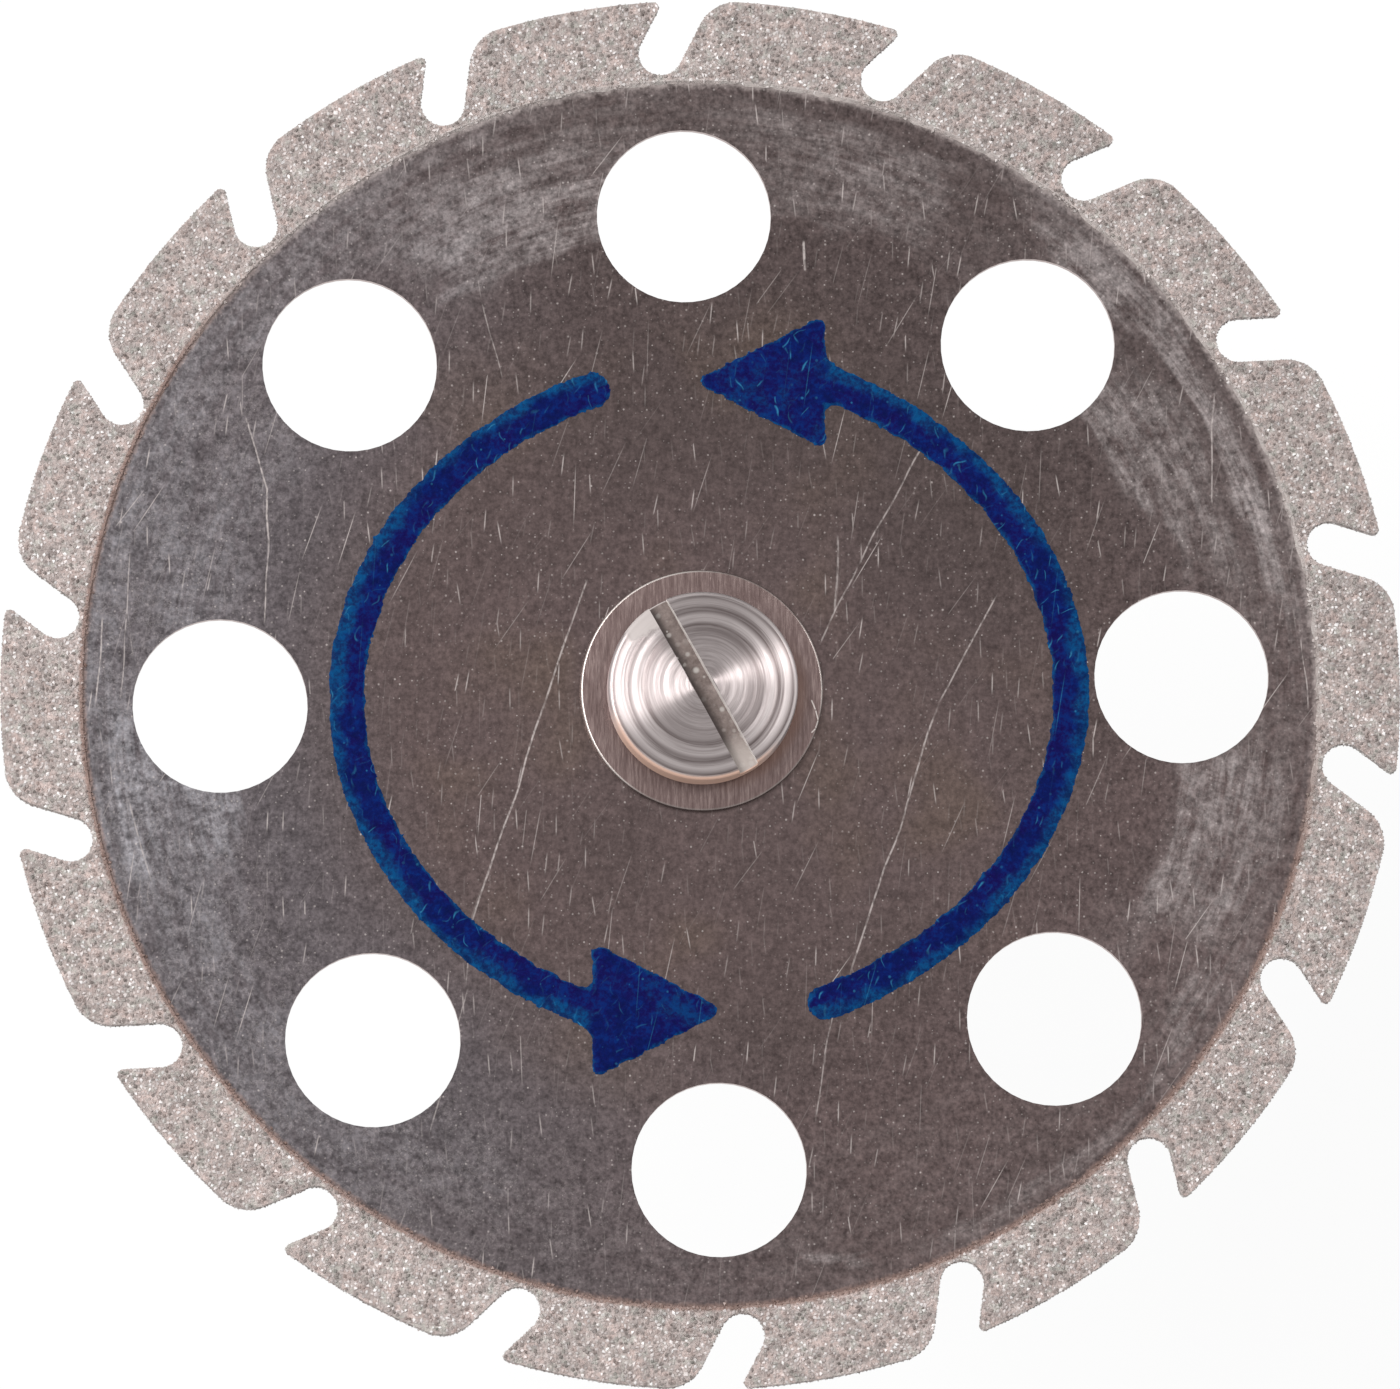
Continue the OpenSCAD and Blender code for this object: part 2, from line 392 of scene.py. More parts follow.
def latheForm(outline, steps, loop=False):
    form = bmesh.new()
    rings = []
    for r, z in outline:
        count = 1 if r < 1e-4 else steps
        rings.append([
            form.verts.new((
                r * math.cos(math.tau * k / steps) * mm,
                r * math.sin(math.tau * k / steps) * mm,
                z * mm,
            ))
            for k in range(count)
        ])
    for lower, upper in zip(rings, rings[1:] + rings[:1] if loop else rings[1:]):
        for k in range(steps if len(lower) + len(upper) > 2 else 0):
            corners = (lower[k % len(lower)], lower[(k + 1) % len(lower)],
                       upper[(k + 1) % len(upper)], upper[k % len(upper)])
            form.faces.new(list(dict.fromkeys(corners)))
    bmesh.ops.recalc_face_normals(form, faces=form.faces)
    return form


def newPiece(name, form, finish, sharpAngle=None):
    mesh = bpy.data.meshes.new(name)
    form.to_mesh(mesh)
    form.free()
    mesh.materials.append(finish)
    if sharpAngle is None:
        mesh.shade_flat()
    else:
        mesh.shade_smooth()
        mesh.set_sharp_from_angle(angle=math.radians(sharpAngle))
    piece = bpy.data.objects.new(name, mesh)
    bpy.context.scene.collection.objects.link(piece)
    return piece


def dress(node, finish):
    for slot in nodes[node].material_slots:
        slot.material = finish


# The blade keeps its CAD shape and gets the finish of worn, darkened spring steel
bladeLook = {
    "steel": tint(83, 71, 70),
    "dark": tint(69, 60, 59),
    # a painted reflection's blue-tinted colour, for the left side
    "bluishReflection": tint(84, 80, 83),
    "brown": tint(86, 73, 65),
    # colour of the painted sheen
    "bright": tint(140, 132, 131),
    # the painted sheen's colour at the left, blue-tinted as a painted reflection
    "brightBluishReflection": tint(132, 130, 134),
    "scratch": tint(172, 163, 160),
    # painted brown shade and painted pale highlight for the coating's inner edge
    "edgeShadeBrown": tint(124, 102, 94),
    "edgeHighlight": tint(160, 150, 147),
    # wall colour: faintly pink, painted brighter as a sheen
    "holeWallPinkSheen": tint(172, 152, 148),
    "leftWay": (-0.966, -0.259, 0),  # the side where a blue-tinted reflection is painted on the steel
    "sheenWays": [  # sides where the painted sheen lies, with the reach and strength of it
        ((-0.966, 0.259, 0), -0.1, 0.95, 0.06, 0.22),
        ((0.996, -0.087, 0), 0.6, 1.0, 0.0, 0.15),
    ],
    "sheenRadii": (14.0, 18.0),
    "mottling": 0.12,  # in mm
    "wavering": 0.22,
    "edgeShare": 0.6,
    "roughness": (0.28, 0.38),
    "bumpDepth": 0.004,
    "tickSets": [  # turn, spacing, length, width, share, slant, shift
        (0.02, 0.42, 1.0, 0.034, 0.4, 0.4, 0.0),
        (0.3, 0.75, 2.6, 0.025, 0.55, 0.75, 7.0),
    ],
    "smears": [  # direction and half width in degrees, inner and outer radius in mm, strength
        (26, 17, 15.9, 17.5, 0.3),
        (33, 30, 18.4, 19.8, 0.34),
        (76, 15, 15.9, 18.6, 0.22),
        (110, 18, 15.4, 18.0, 0.2),
        (190, 11, 15.0, 19.3, 0.26),
        (283, 4, 18.5, 18.9, 0.3),
        (312, 24, 18.6, 19.8, 0.16),
        (344, 12, 16.3, 18.6, 0.26),
    ],
}
# Scratches that stand out, as (from, to, width, strength), in mm on the front face
bladeScratches = [
    ((-3.7, 3.6), (-4.3, 1.8), 0.04, 0.6),
    ((-4.25, 2.0), (-5.0, -0.4), 0.045, 0.7),
    ((-4.9, -0.1), (-7.5, -7.8), 0.045, 0.75),
    ((-7.5, -7.4), (-7.6, -9.6), 0.035, 0.5),
    ((-7.5, -9.5), (-8.7, -14.5), 0.035, 0.5),
    ((7.3, 8.2), (4.9, 4.0), 0.04, 0.55),
    ((5.0, 4.2), (3.8, 1.5), 0.04, 0.5),
    ((9.6, 3.3), (7.6, -0.4), 0.04, 0.65),
    ((7.7, -0.2), (4.7, -9.4), 0.045, 0.7),
    ((4.3, -9.6), (3.6, -14.0), 0.035, 0.5),
    ((-14.8, 8.9), (-13.9, 6.3), 0.04, 0.7),
    ((-13.95, 6.6), (-14.0, 4.3), 0.045, 0.8),
    ((-14.0, 4.5), (-14.1, 2.1), 0.035, 0.7),
    ((-19.25, 2.4), (-19.45, -0.6), 0.035, 0.8),
    ((-18.35, 4.6), (-18.7, -0.4), 0.028, 0.6),
    ((19.35, 1.9), (19.5, -0.5), 0.03, 0.6),
    ((-18.4, -3.4), (-17.6, -6.4), 0.04, 0.5),
    ((3.3, 14.7), (3.4, 13.7), 0.055, 0.8),
    ((-7.1, 12.7), (-6.4, 10.1), 0.03, 0.45),
    ((4.33, 5.2), (4.3, 2.5), 0.05, 0.5),
    ((16.55, 9.9), (16.45, 6.0), 0.04, 0.6),
]


def makeBladeSteel():
    finish, tree, shader, point = newFinish("bladeSteel", 1.0, 0.42)
    polar = useGroup(tree, polarPlace, Point=point)
    radius, direction = polar["Radius"], polar["Direction"]
    look = bladeLook

    # Broad changes: darker near the centre's upper right, and a painted blue-tinted reflection at the left
    cloud = noiseAt(tree, point, 0.16, 2.0, 0.6)
    toLeft = dot(tree, direction, look["leftWay"])
    leftSide = times(tree, remap(tree, toLeft, -0.1, 0.9), remap(tree, radius, 9.0, 15.0))
    toTop = dot(tree, direction, paleSide)
    topSide = times(tree, remap(tree, toTop, 0.1, 0.95), remap(tree, radius, 3.0, 10.0))
    cloudy = remap(tree, cloud, 0.4, 0.75, 0.0, 0.45)
    colour = blendColour(tree, cloudy, look["steel"], look["dark"])
    colour = blendColour(tree, times(tree, topSide, 0.8), colour, look["dark"])
    # painted reflection, blue-tinted, at the left
    colour = blendColour(tree, times(tree, leftSide, 0.75), colour, look["bluishReflection"])

    # Over the outer band, drawn out round the disc: a painted sheen at the left and right, and denser smears
    # of polish and grease
    strip = useGroup(tree, polarPlace, Point=point, Around=2.4, Across=0.42)["Strip"]
    broad = noiseAt(tree, strip, 1.0, 2.0, 0.6)
    strip = useGroup(tree, polarPlace, Point=point, Around=5.0, Across=4.6)["Strip"]
    streak = noiseAt(tree, strip, 1.0, 3.0, 0.65)
    crumbs = noiseAt(tree, point, 1.5, 4.0, 0.8)
    sheenSides = [remap(tree, dot(tree, direction, way), *reach) for way, *reach in look["sheenWays"]]
    shaken = plus(tree, radius, remap(tree, broad, 0.3, 0.7, -0.9, 0.9))
    sheenAndSmears = times(tree, calc(tree, "MAXIMUM", *sheenSides), remap(tree, shaken, *look["sheenRadii"]))
    sheenAndSmears = plus(tree, sheenAndSmears, drawSmears(tree, direction, shaken, look["smears"]))
    drawn = remap(tree, streak, 0.34, 0.66, 0.5, 1.25)
    drawn = plus(tree, drawn, remap(tree, crumbs, 0.32, 0.68, -0.55, 0.5))
    drawn = times(tree, drawn, remap(tree, broad, 0.3, 0.62, 0.6, 1.3))
    sheenAndSmears = times(tree, sheenAndSmears, drawn, clamp=True)
    sheenColour = blendColour(tree, leftSide, look["bright"], look["brightBluishReflection"])
    colour = blendColour(tree, sheenAndSmears, colour, sheenColour)
    brown = times(tree, remap(tree, cloud, 0.5, 0.3, 0.0, 0.5), remap(tree, radius, 15.0, 10.0))
    colour = blendColour(tree, brown, colour, look["brown"])

    # Mottling, stronger outside
    grain = useGroup(tree, surfaceGrain, Point=point, Size=look["mottling"])["Grain"]
    depth = remap(tree, radius, 8.0, 17.0, 0.5, 0.9)
    shade = plus(tree, times(tree, calc(tree, "SUBTRACT", grain, 0.5), depth), 1.0)
    stroke = noiseAt(tree, vecCalc(tree, "MULTIPLY", point, (7.0, 3.0, 1.0)), 1.0, 2.0, 0.6)
    shade = plus(tree, shade, times(tree, calc(tree, "SUBTRACT", stroke, 0.5), 0.5))
    outerLeft = times(tree, leftSide, remap(tree, radius, 13.0, 17.0))
    crumple = times(tree, remap(tree, crumbs, 0.34, 0.62, -0.12, 0.04), outerLeft)
    colour = shaded(tree, colour, plus(tree, shade, crumple))
    curls = calc(tree, "ABSOLUTE", calc(tree, "SUBTRACT", crumbs, 0.53))
    curls = remap(tree, curls, 0.016, 0.0, 0.0, 0.2)

    # Dust, short ticks and the scratches that stand out, on the flat faces only
    dust = useGroup(tree, dustDots, Point=point, Spacing=0.18, Size=0.037, Share=0.35)["Mask"]
    marks = times(tree, dust, remap(tree, crumbs, 0.42, 0.6, 0.3, 0.7))
    for turn, spacing, length, width, share, slant, shift in look["tickSets"]:
        ticks = useGroup(tree, fineScratches, Point=point, Turn=turn, Spacing=spacing, Length=length,
                         Width=width, Share=share, Slant=slant, Shift=shift)
        marks = calc(tree, "MAXIMUM", marks, times(tree, ticks["Mask"], 0.8))
    moved = useGroup(tree, waver, Point=point, Scale=0.5, Amount=look["wavering"])["Moved"]
    lines = drawScratches(tree, moved, bladeScratches)
    lines = times(tree, lines, remap(tree, stroke, 0.36, 0.56, 0.3, 1.0))
    marks = calc(tree, "MAXIMUM", marks, lines)
    marks = calc(tree, "MAXIMUM", marks, times(tree, curls, outerLeft))
    upward = splitXYZ(tree, addNode(tree, "ShaderNodeNewGeometry").outputs["Normal"])[2]
    marks = times(tree, marks, remap(tree, upward, 0.5, 0.9))
    colour = blendColour(tree, marks, colour, look["scratch"])

    # Along the coating's inner edge: a painted pale highlight on the pale side, and a painted brown shade
    # elsewhere
    creep = plus(tree, radius, times(tree, grain, 0.16))
    shadedEdgeSide = remap(tree, toTop, 0.5, 0.1)
    start = remap(tree, shadedEdgeSide, 0.0, 1.0, coatRadius - 0.22, coatRadius - 0.12)
    nearCoat = remap(tree, creep, start, coatRadius + 0.06)
    edgeLightAndShade = blendColour(tree, shadedEdgeSide, look["edgeHighlight"], look["edgeShadeBrown"])
    colour = blendColour(tree, times(tree, nearCoat, look["edgeShare"]), colour, edgeLightAndShade)

    # Punched walls of the holes, faintly pink and painted brighter as a sheen
    wall = remap(tree, calc(tree, "ABSOLUTE", upward), 0.9, 0.5)
    colour = blendColour(tree, wall, colour, look["holeWallPinkSheen"])
    feed(tree, shader["Base Color"], colour)
    feed(tree, shader["Roughness"], remap(tree, grain, 0.0, 1.0, *look["roughness"]))
    addBump(tree, shader, noiseAt(tree, point, 7.0, 1.0), look["bumpDepth"])
    return finish


bladeSteel = makeBladeSteel()
dress("blade", bladeSteel)
print("blade finished")


# The coating: a rough skin of plated metal, and diamond grains set in it
gritLook = {
    "grainSize": 0.126,
    "edgeGrainSize": 0.08,
    "spacing": 0.101,
    "density": 150.0,
    "edgeSpill": 0.12,
    "shoulder": 0.1,  # how far the plating thins out past its inner edge
    "thickness": 0.1,
    "margin": 0.035,
    "skinSize": 0.075,
    "skinMetal": 0.6,
    "skinBump": 0.03,
    "stoneRoughness": (0.5, 0.34),
    "stretch": ((0.65, 0.65, 0.6), (1.3, 1.3, 1.0)),  # least and most, of a grain
    "cloudShade": (0.72, 1.12),
    "sideShade": (0.87, 0.935),
    "lightWay": (-0.65, -0.76, 0),
    "skin": tint(188, 177, 173),
    "skinDark": tint(128, 116, 112),
    # painted brown shade and painted pale highlight for the coating's inner edge
    "edgeShadeTint": tint(126, 102, 94),
    "paleEdgeHighlight": tint(184, 175, 171),
    "pink": tint(204, 178, 170),
    "green": tint(176, 186, 176),
    "tones": [
        (0.0, tint(122, 112, 108)),
        (0.25, tint(153, 142, 138)),
        (0.55, tint(196, 186, 183)),
        (0.85, tint(224, 216, 214)),
        (1.0, tint(248, 244, 243)),
    ],
}


def gritHues(tree, point, base):  # lighter and darker clouds and faint hues, for the skin and its grains
    flat = vecCalc(tree, "MULTIPLY", point, (1, 1, 0))
    radius, direction = vecCalc(tree, "LENGTH", flat), vecCalc(tree, "NORMALIZE", flat)
    hue = noiseAt(tree, point, 2.6, 3.0, 0.65)
    colour = blendColour(tree, remap(tree, hue, 0.36, 0.5, 0.3, 0.0), base, gritLook["pink"])
    colour = blendColour(tree, remap(tree, hue, 0.52, 0.66, 0.0, 0.26), colour, gritLook["green"])
    cloud = noiseAt(tree, point, 2.4, 4.0, 0.75)
    toLight = dot(tree, direction, gritLook["lightWay"])
    shade = remap(tree, cloud, 0.3, 0.7, *gritLook["cloudShade"])
    shade = times(tree, shade, remap(tree, toLight, -1.0, 1.0, *gritLook["sideShade"]))
    colour = shaded(tree, colour, shade)

    # The inner edge has a painted pale highlight on the pale side, and a painted brown shade elsewhere
    side = remap(tree, dot(tree, direction, paleSide), 0.5, 0.1)
    width = remap(tree, side, 0.0, 1.0, 0.06, 0.17)
    inner = calc(tree, "DIVIDE", calc(tree, "SUBTRACT", radius, coatRadius), width)
    inner = remap(tree, inner, 1.0, 0.2)
    inner = times(tree, inner, remap(tree, side, 0.0, 1.0, 0.5, 0.9))
    edge = blendColour(tree, side, gritLook["paleEdgeHighlight"], gritLook["edgeShadeTint"])
    return blendColour(tree, inner, colour, edge)


def makeGritSkin():
    finish, tree, shader, point = newFinish("gritSkin", gritLook["skinMetal"], 0.5)
    grain = useGroup(tree, surfaceGrain, Point=point, Size=gritLook["skinSize"])["Grain"]
    colour = blendColour(tree, grain, gritLook["skinDark"], gritLook["skin"])
    feed(tree, shader["Base Color"], gritHues(tree, point, colour))
    radius = useGroup(tree, polarPlace, Point=point)["Radius"]
    metal = remap(tree, radius, coatRadius + 0.01, coatRadius + 0.06, 0.0, gritLook["skinMetal"])
    feed(tree, shader["Metallic"], metal)
    addBump(tree, shader, grain, gritLook["skinBump"])
    return finish


def makeGritStone():  # each grain carries its own colour and tone
    finish, tree, shader, point = newFinish("gritStone", 0.0, 0.42, Specular_IOR_Level=0.5)
    colour = addNode(tree, "ShaderNodeAttribute", attribute_name="grainColour").outputs["Color"]
    tone = addNode(tree, "ShaderNodeAttribute", attribute_name="grainTone").outputs["Fac"]
    feed(tree, shader["Base Color"], colour)
    feed(tree, shader["Roughness"], remap(tree, tone, 0.0, 1.0, *gritLook["stoneRoughness"]))
    return finish


def buildGritTree(finish):  # scatters octahedral grains over a surface given in mm, and gives metres
    tree = bpy.data.node_groups.new("scatterGrit", "GeometryNodeTree")
    takes = [("Grain Size", "Float", 0.1), ("Spacing", "Float", 0.12), ("Density", "Float", 80.0),
             ("Coat Radius", "Float", coatRadius), ("Spill", "Float", 0.16),
             ("Margin", "Float", 0.03), ("Seed", "Int", 1)]
    tree.interface.new_socket(name="Surface", in_out="INPUT", socket_type="NodeSocketGeometry")
    for label, kind, value in takes:
        socket = tree.interface.new_socket(name=label, in_out="INPUT", socket_type="NodeSocket" + kind)
        socket.default_value = value
    tree.interface.new_socket(name="Grains", in_out="OUTPUT", socket_type="NodeSocketGeometry")
    entry = addNode(tree, "NodeGroupInput").outputs
    leave = addNode(tree, "NodeGroupOutput").inputs

    place = addNode(tree, "GeometryNodeInputPosition").outputs[0]
    radius = vecCalc(tree, "LENGTH", vecCalc(tree, "MULTIPLY", place, (1, 1, 0)))
    strayed = calc(tree, "SUBTRACT", entry["Coat Radius"], radius)  # how far past the inner edge
    toPale = dot(tree, vecCalc(tree, "NORMALIZE", place), paleSide)
    spill = times(tree, entry["Spill"], remap(tree, toPale, -0.5, 0.4, 0.12, 1.0))
    fade = calc(tree, "SUBTRACT", 1.0, calc(tree, "DIVIDE", strayed, spill), clamp=True)
    factor = calc(tree, "POWER", fade, 2.0)

    scatter = addNode(tree, "GeometryNodeDistributePointsOnFaces", distribute_method="POISSON")
    feed(tree, scatter.inputs["Mesh"], entry["Surface"])
    feed(tree, scatter.inputs["Distance Min"], entry["Spacing"])
    feed(tree, scatter.inputs["Density Max"], entry["Density"])
    feed(tree, scatter.inputs["Density Factor"], factor)
    feed(tree, scatter.inputs["Seed"], entry["Seed"])

    # Points closer than the margin to the surface's open edges go, so that the outline stays clean
    sides = addNode(tree, "GeometryNodeInputMeshEdgeNeighbors")
    rim = addNode(tree, "GeometryNodeSeparateGeometry", domain="EDGE")
    feed(tree, rim.inputs["Geometry"], entry["Surface"])
    feed(tree, rim.inputs["Selection"], calc(tree, "LESS_THAN", sides.outputs["Face Count"], 1.5))
    near = addNode(tree, "GeometryNodeProximity", target_element="EDGES")
    feed(tree, near.inputs[0], rim.outputs["Selection"])
    thin = addNode(tree, "GeometryNodeDeleteGeometry", domain="POINT")
    feed(tree, thin.inputs["Geometry"], scatter.outputs["Points"])
    outward = calc(tree, "GREATER_THAN", radius, plus(tree, entry["Coat Radius"], 0.2))
    close = calc(tree, "LESS_THAN", near.outputs["Distance"], entry["Margin"])
    feed(tree, thin.inputs["Selection"], times(tree, close, outward))

    def randomValue(kind, low, high, seed):
        node = addNode(tree, "FunctionNodeRandomValue", data_type=kind)
        sockets = node.inputs[0:2] if kind == "FLOAT_VECTOR" else node.inputs[2:4]
        for socket, value in zip(sockets, (low, high)):
            feed(tree, socket, value)
        feed(tree, node.inputs["Seed"], plus(tree, entry["Seed"], float(seed)))
        return node.outputs[0 if kind == "FLOAT_VECTOR" else 1]

    grain = addNode(tree, "GeometryNodeMeshUVSphere")
    grain.inputs["Segments"].default_value = 4
    grain.inputs["Rings"].default_value = 2
    feed(tree, grain.inputs["Radius"], times(tree, entry["Grain Size"], 0.62))
    setGrains = addNode(tree, "GeometryNodeInstanceOnPoints")
    feed(tree, setGrains.inputs["Points"], thin.outputs["Geometry"])
    feed(tree, setGrains.inputs["Instance"], grain.outputs["Mesh"])
    rotation = randomValue("FLOAT_VECTOR", (0, 0, 0), (6.28, 6.28, 6.28), 11)
    feed(tree, setGrains.inputs["Rotation"], rotation)
    feed(tree, setGrains.inputs["Scale"], randomValue("FLOAT_VECTOR", *gritLook["stretch"], 23))
    grains = setGrains.outputs["Instances"]
    tone = randomValue("FLOAT", 0.0, 1.0, 37)
    middle = addNode(tree, "GeometryNodeInputPosition").outputs[0]
    hues = gritHues(tree, middle, ramp(tree, tone, gritLook["tones"]))
    for label, kind, value in (("grainTone", "FLOAT", tone), ("grainColour", "FLOAT_COLOR", hues)):
        store = addNode(tree, "GeometryNodeStoreNamedAttribute", data_type=kind, domain="INSTANCE")
        feed(tree, store.inputs["Geometry"], grains)
        store.inputs["Name"].default_value = label
        feed(tree, store.inputs["Value"], value)
        grains = store.outputs["Geometry"]
    realize = addNode(tree, "GeometryNodeRealizeInstances")
    feed(tree, realize.inputs["Geometry"], grains)
    shrink = addNode(tree, "GeometryNodeTransform")
    feed(tree, shrink.inputs["Geometry"], realize.outputs["Geometry"])
    shrink.inputs["Scale"].default_value = (mm, mm, mm)
    flat = addNode(tree, "GeometryNodeSetShadeSmooth")
    feed(tree, flat.inputs["Geometry"], shrink.outputs["Geometry"])
    flat.inputs["Shade Smooth"].default_value = False
    paint = addNode(tree, "GeometryNodeSetMaterial")
    feed(tree, paint.inputs["Geometry"], flat.outputs["Geometry"])
    paint.inputs["Material"].default_value = finish
    feed(tree, leave["Grains"], paint.outputs["Geometry"])
    return tree


def surfaceOf(name, lowest, highest, spill=None):  # the coating's faces, by their normal's z, in mm
    form = bmesh.new()
    form.from_mesh(nodes["diamond_coating"].data)
    for corner in form.verts:
        corner.co /= mm
    bmesh.ops.remove_doubles(form, verts=form.verts, dist=1e-4)
    form.normal_update()
    away = [face for face in form.faces if not lowest <= face.normal.z <= highest]
    bmesh.ops.delete(form, geom=away, context="FACES")
    if spill:  # a narrow ring on the blade's face, for grains that strayed over the edge
        steps = 180
        turns = [math.tau * k / steps for k in range(steps)]
        rings = [[form.verts.new((r * math.cos(a), r * math.sin(a), spill)) for a in turns]
                 for r in (coatRadius - gritLook["edgeSpill"], coatRadius)]
        for k in range(steps):
            n = (k + 1) % steps
            form.faces.new((rings[0][k], rings[1][k], rings[1][n], rings[0][n]))
    mesh = bpy.data.meshes.new(name)
    form.to_mesh(mesh)
    form.free()
    return mesh


def bakeTree(name, mesh, tree, values):
    source = bpy.data.objects.new(name + "Source", mesh)
    bpy.context.scene.collection.objects.link(source)
    modifier = source.modifiers.new("nodes", "NODES")
    modifier.node_group = tree
    entries = [item for item in tree.interface.items_tree if item.in_out == "INPUT"]
    sockets = {item.name: item.identifier for item in entries}
    for label, value in values.items():
        modifier[sockets[label]] = value
    graph = bpy.context.evaluated_depsgraph_get()
    result = bpy.data.meshes.new_from_object(source.evaluated_get(graph), depsgraph=graph)
    source.modifiers.remove(modifier)
    bpy.data.objects.remove(source)
    result.name = name
    piece = bpy.data.objects.new(name, result)
    bpy.context.scene.collection.objects.link(piece)
    return piece


gritSkin = makeGritSkin()
gritStone = makeGritStone()
dress("diamond_coating", gritSkin)
gritTree = buildGritTree(gritStone)
gritFaces = [
    ("gritFront", 0.7, 1.1, faceZ + 0.03, gritLook["grainSize"], 1),
    ("gritBack", -1.1, -0.7, seatZ - 0.03, gritLook["grainSize"], 5),
    ("gritEdges", -0.7, 0.7, None, gritLook["edgeGrainSize"], 9),
]
for name, lowest, highest, spill, grainSize, seed in gritFaces:
    values = {"Grain Size": grainSize, "Spacing": gritLook["spacing"], "Density": gritLook["density"],
              "Coat Radius": coatRadius, "Spill": gritLook["edgeSpill"],
              "Margin": gritLook["margin"], "Seed": seed}
    piece = bakeTree(name, surfaceOf(name, lowest, highest, spill), gritTree, values)
    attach(piece, "root")
    print(name, "has", len(piece.data.polygons), "facets")


def makeShoulders():  # the ragged slope where the plating thins out on the blade, on both faces
    form = bmesh.new()
    steps = 1080
    low, high, inside = 0.004, gritLook["thickness"] - 0.004, coatRadius + 0.02
    for base, way in ((faceZ, 1), (seatZ, -1)):
        rings = []
        for part in range(4):
            ring = []
            for k in range(steps):
                a = math.tau * k / steps
                x, y = math.cos(a), math.sin(a)
                wave = noise.noise(Vector((x * 60, y * 60, way)))
                wave += noise.noise(Vector((x * 18, y * 18, way)))
                towardPale = x * paleSide[0] + y * paleSide[1]
                reach = (0.62 + 0.55 * wave) * (0.85 + 0.6 * towardPale)
                reach = gritLook["shoulder"] * min(max(reach, 0.12), 1.5)
                section = [(inside, high), (coatRadius, high), (coatRadius - reach, low), (inside, low)]
                r, z = section[part]
                ring.append(form.verts.new((r * x * mm, r * y * mm, (base + way * z) * mm)))
            rings.append(ring)
        for ring, following in zip(rings, rings[1:] + rings[:1]):
            for k in range(steps):
                n = (k + 1) % steps
                form.faces.new((ring[k], ring[n], following[n], following[k]))
    bmesh.ops.recalc_face_normals(form, faces=form.faces)
    return form


shoulders = newPiece("platingShoulders", makeShoulders(), gritSkin, 40)
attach(shoulders, "root")
print("plating shoulders have", len(shoulders.data.polygons), "faces")


# The printed arrows: a thin sheet of ink with ragged edges, which replaces the CAD arrows
inkLook = {
    "printCentre": (0.25, -0.13),
    "curveCentre": (1.85, -0.15),
    "curveSize": (13.5, 11.057),
    "startAngle": 114.5,
    "endAngle": 245.5,
    "lineWidth": 1.14,
    "headLength": 4.0,
    "headWidth": 4.1,
    "headRound": 0.24,
    "fillet": 0.5,
    "thickness": 0.03,
    "cell": 0.055,
    "gridX": (-12.8, 1.4),
    "gridY": (-13.2, 11.2),
    "raggedness": 0.07,
    "grainSize": 0.14,
    "roughness": (0.35, 0.6),
    "bumpDepth": 0.012,
    "navy": tint(3, 17, 74),
    "purple": tint(15, 9, 74),
    "blue": tint(0, 29, 84),
    "teal": tint(0, 72, 112),
    "fleck": tint(40, 104, 138),
}


def inkDepth(x, y):  # how far inside the left arrow a point lies, and how far out from its curve, in mm
    look = inkLook
    cx, cy = look["curveCentre"]
    ax, ay = look["curveSize"]
    start, end = math.radians(look["startAngle"]), math.radians(look["endAngle"])
    angle = np.arctan2((y - cy) / ay, (x - cx) / ax) % math.tau
    for turn in range(4):  # closer to the curve's nearest point each time
        held = np.clip(angle, start, end)
        dx, dy = x - cx - ax * np.cos(held), y - cy - ay * np.sin(held)
        tx, ty = -ax * np.sin(held), ay * np.cos(held)
        angle = held + (dx * tx + dy * ty) / (tx * tx + ty * ty)
    held = np.clip(angle, start, end)
    gap = np.hypot(x - cx - ax * np.cos(held), y - cy - ay * np.sin(held))
    line = look["lineWidth"] / 2 - gap
    tailX, tailY = cx + ax * math.cos(end), cy + ay * math.sin(end)
    u, v = x - tailX, np.abs(y - tailY)
    line = np.where((u > 0.4) & (angle >= end), -1.0, line)  # the line ends square inside the head
    r = look["headRound"]
    length, half = look["headLength"] - 2 * r, look["headWidth"] / 2 - r
    nx, ny = half / math.hypot(half, length), length / math.hypot(half, length)
    inside = np.minimum(u - r, -((u - r - length) * nx + v * ny))  # before the corners are rounded
    tip = np.where(inside > 0, inside, -segmentGap(u - r, v, length, half)) + r
    fillet = look["fillet"]
    share = np.clip(0.5 + 0.5 * (line - tip) / fillet, 0, 1)
    depth = tip * (1 - share) + line * share + fillet * share * (1 - share)
    outward = np.sign((x - cx) / ax * np.cos(held) + (y - cy) / ay * np.sin(held) - 1) * gap * share
    return depth, outward


def segmentGap(u, v, length, half):  # distance from a point outside the head's inner triangle
    gaps = []
    for (x0, y0), (x1, y1) in (((0, 0), (0, half)), ((0, half), (length, 0))):
        px, py, sx, sy = u - x0, v - y0, x1 - x0, y1 - y0
        share = np.clip((px * sx + py * sy) / (sx * sx + sy * sy), 0, 1)
        gaps.append(np.hypot(px - share * sx, py - share * sy))
    return np.minimum(*gaps)


def ragged(x, y, seed):
    broad = noise.noise(Vector((x * 2.1, y * 2.1, seed)))
    fine = noise.noise(Vector((x * 7.0, y * 7.0, seed + 9)))
    spike = max(0.0, noise.noise(Vector((x * 4.3, y * 4.3, seed + 20))) - 0.42) * 3.0
    return inkLook["raggedness"] * (0.9 * broad + 0.6 * fine + 1.3 * spike)


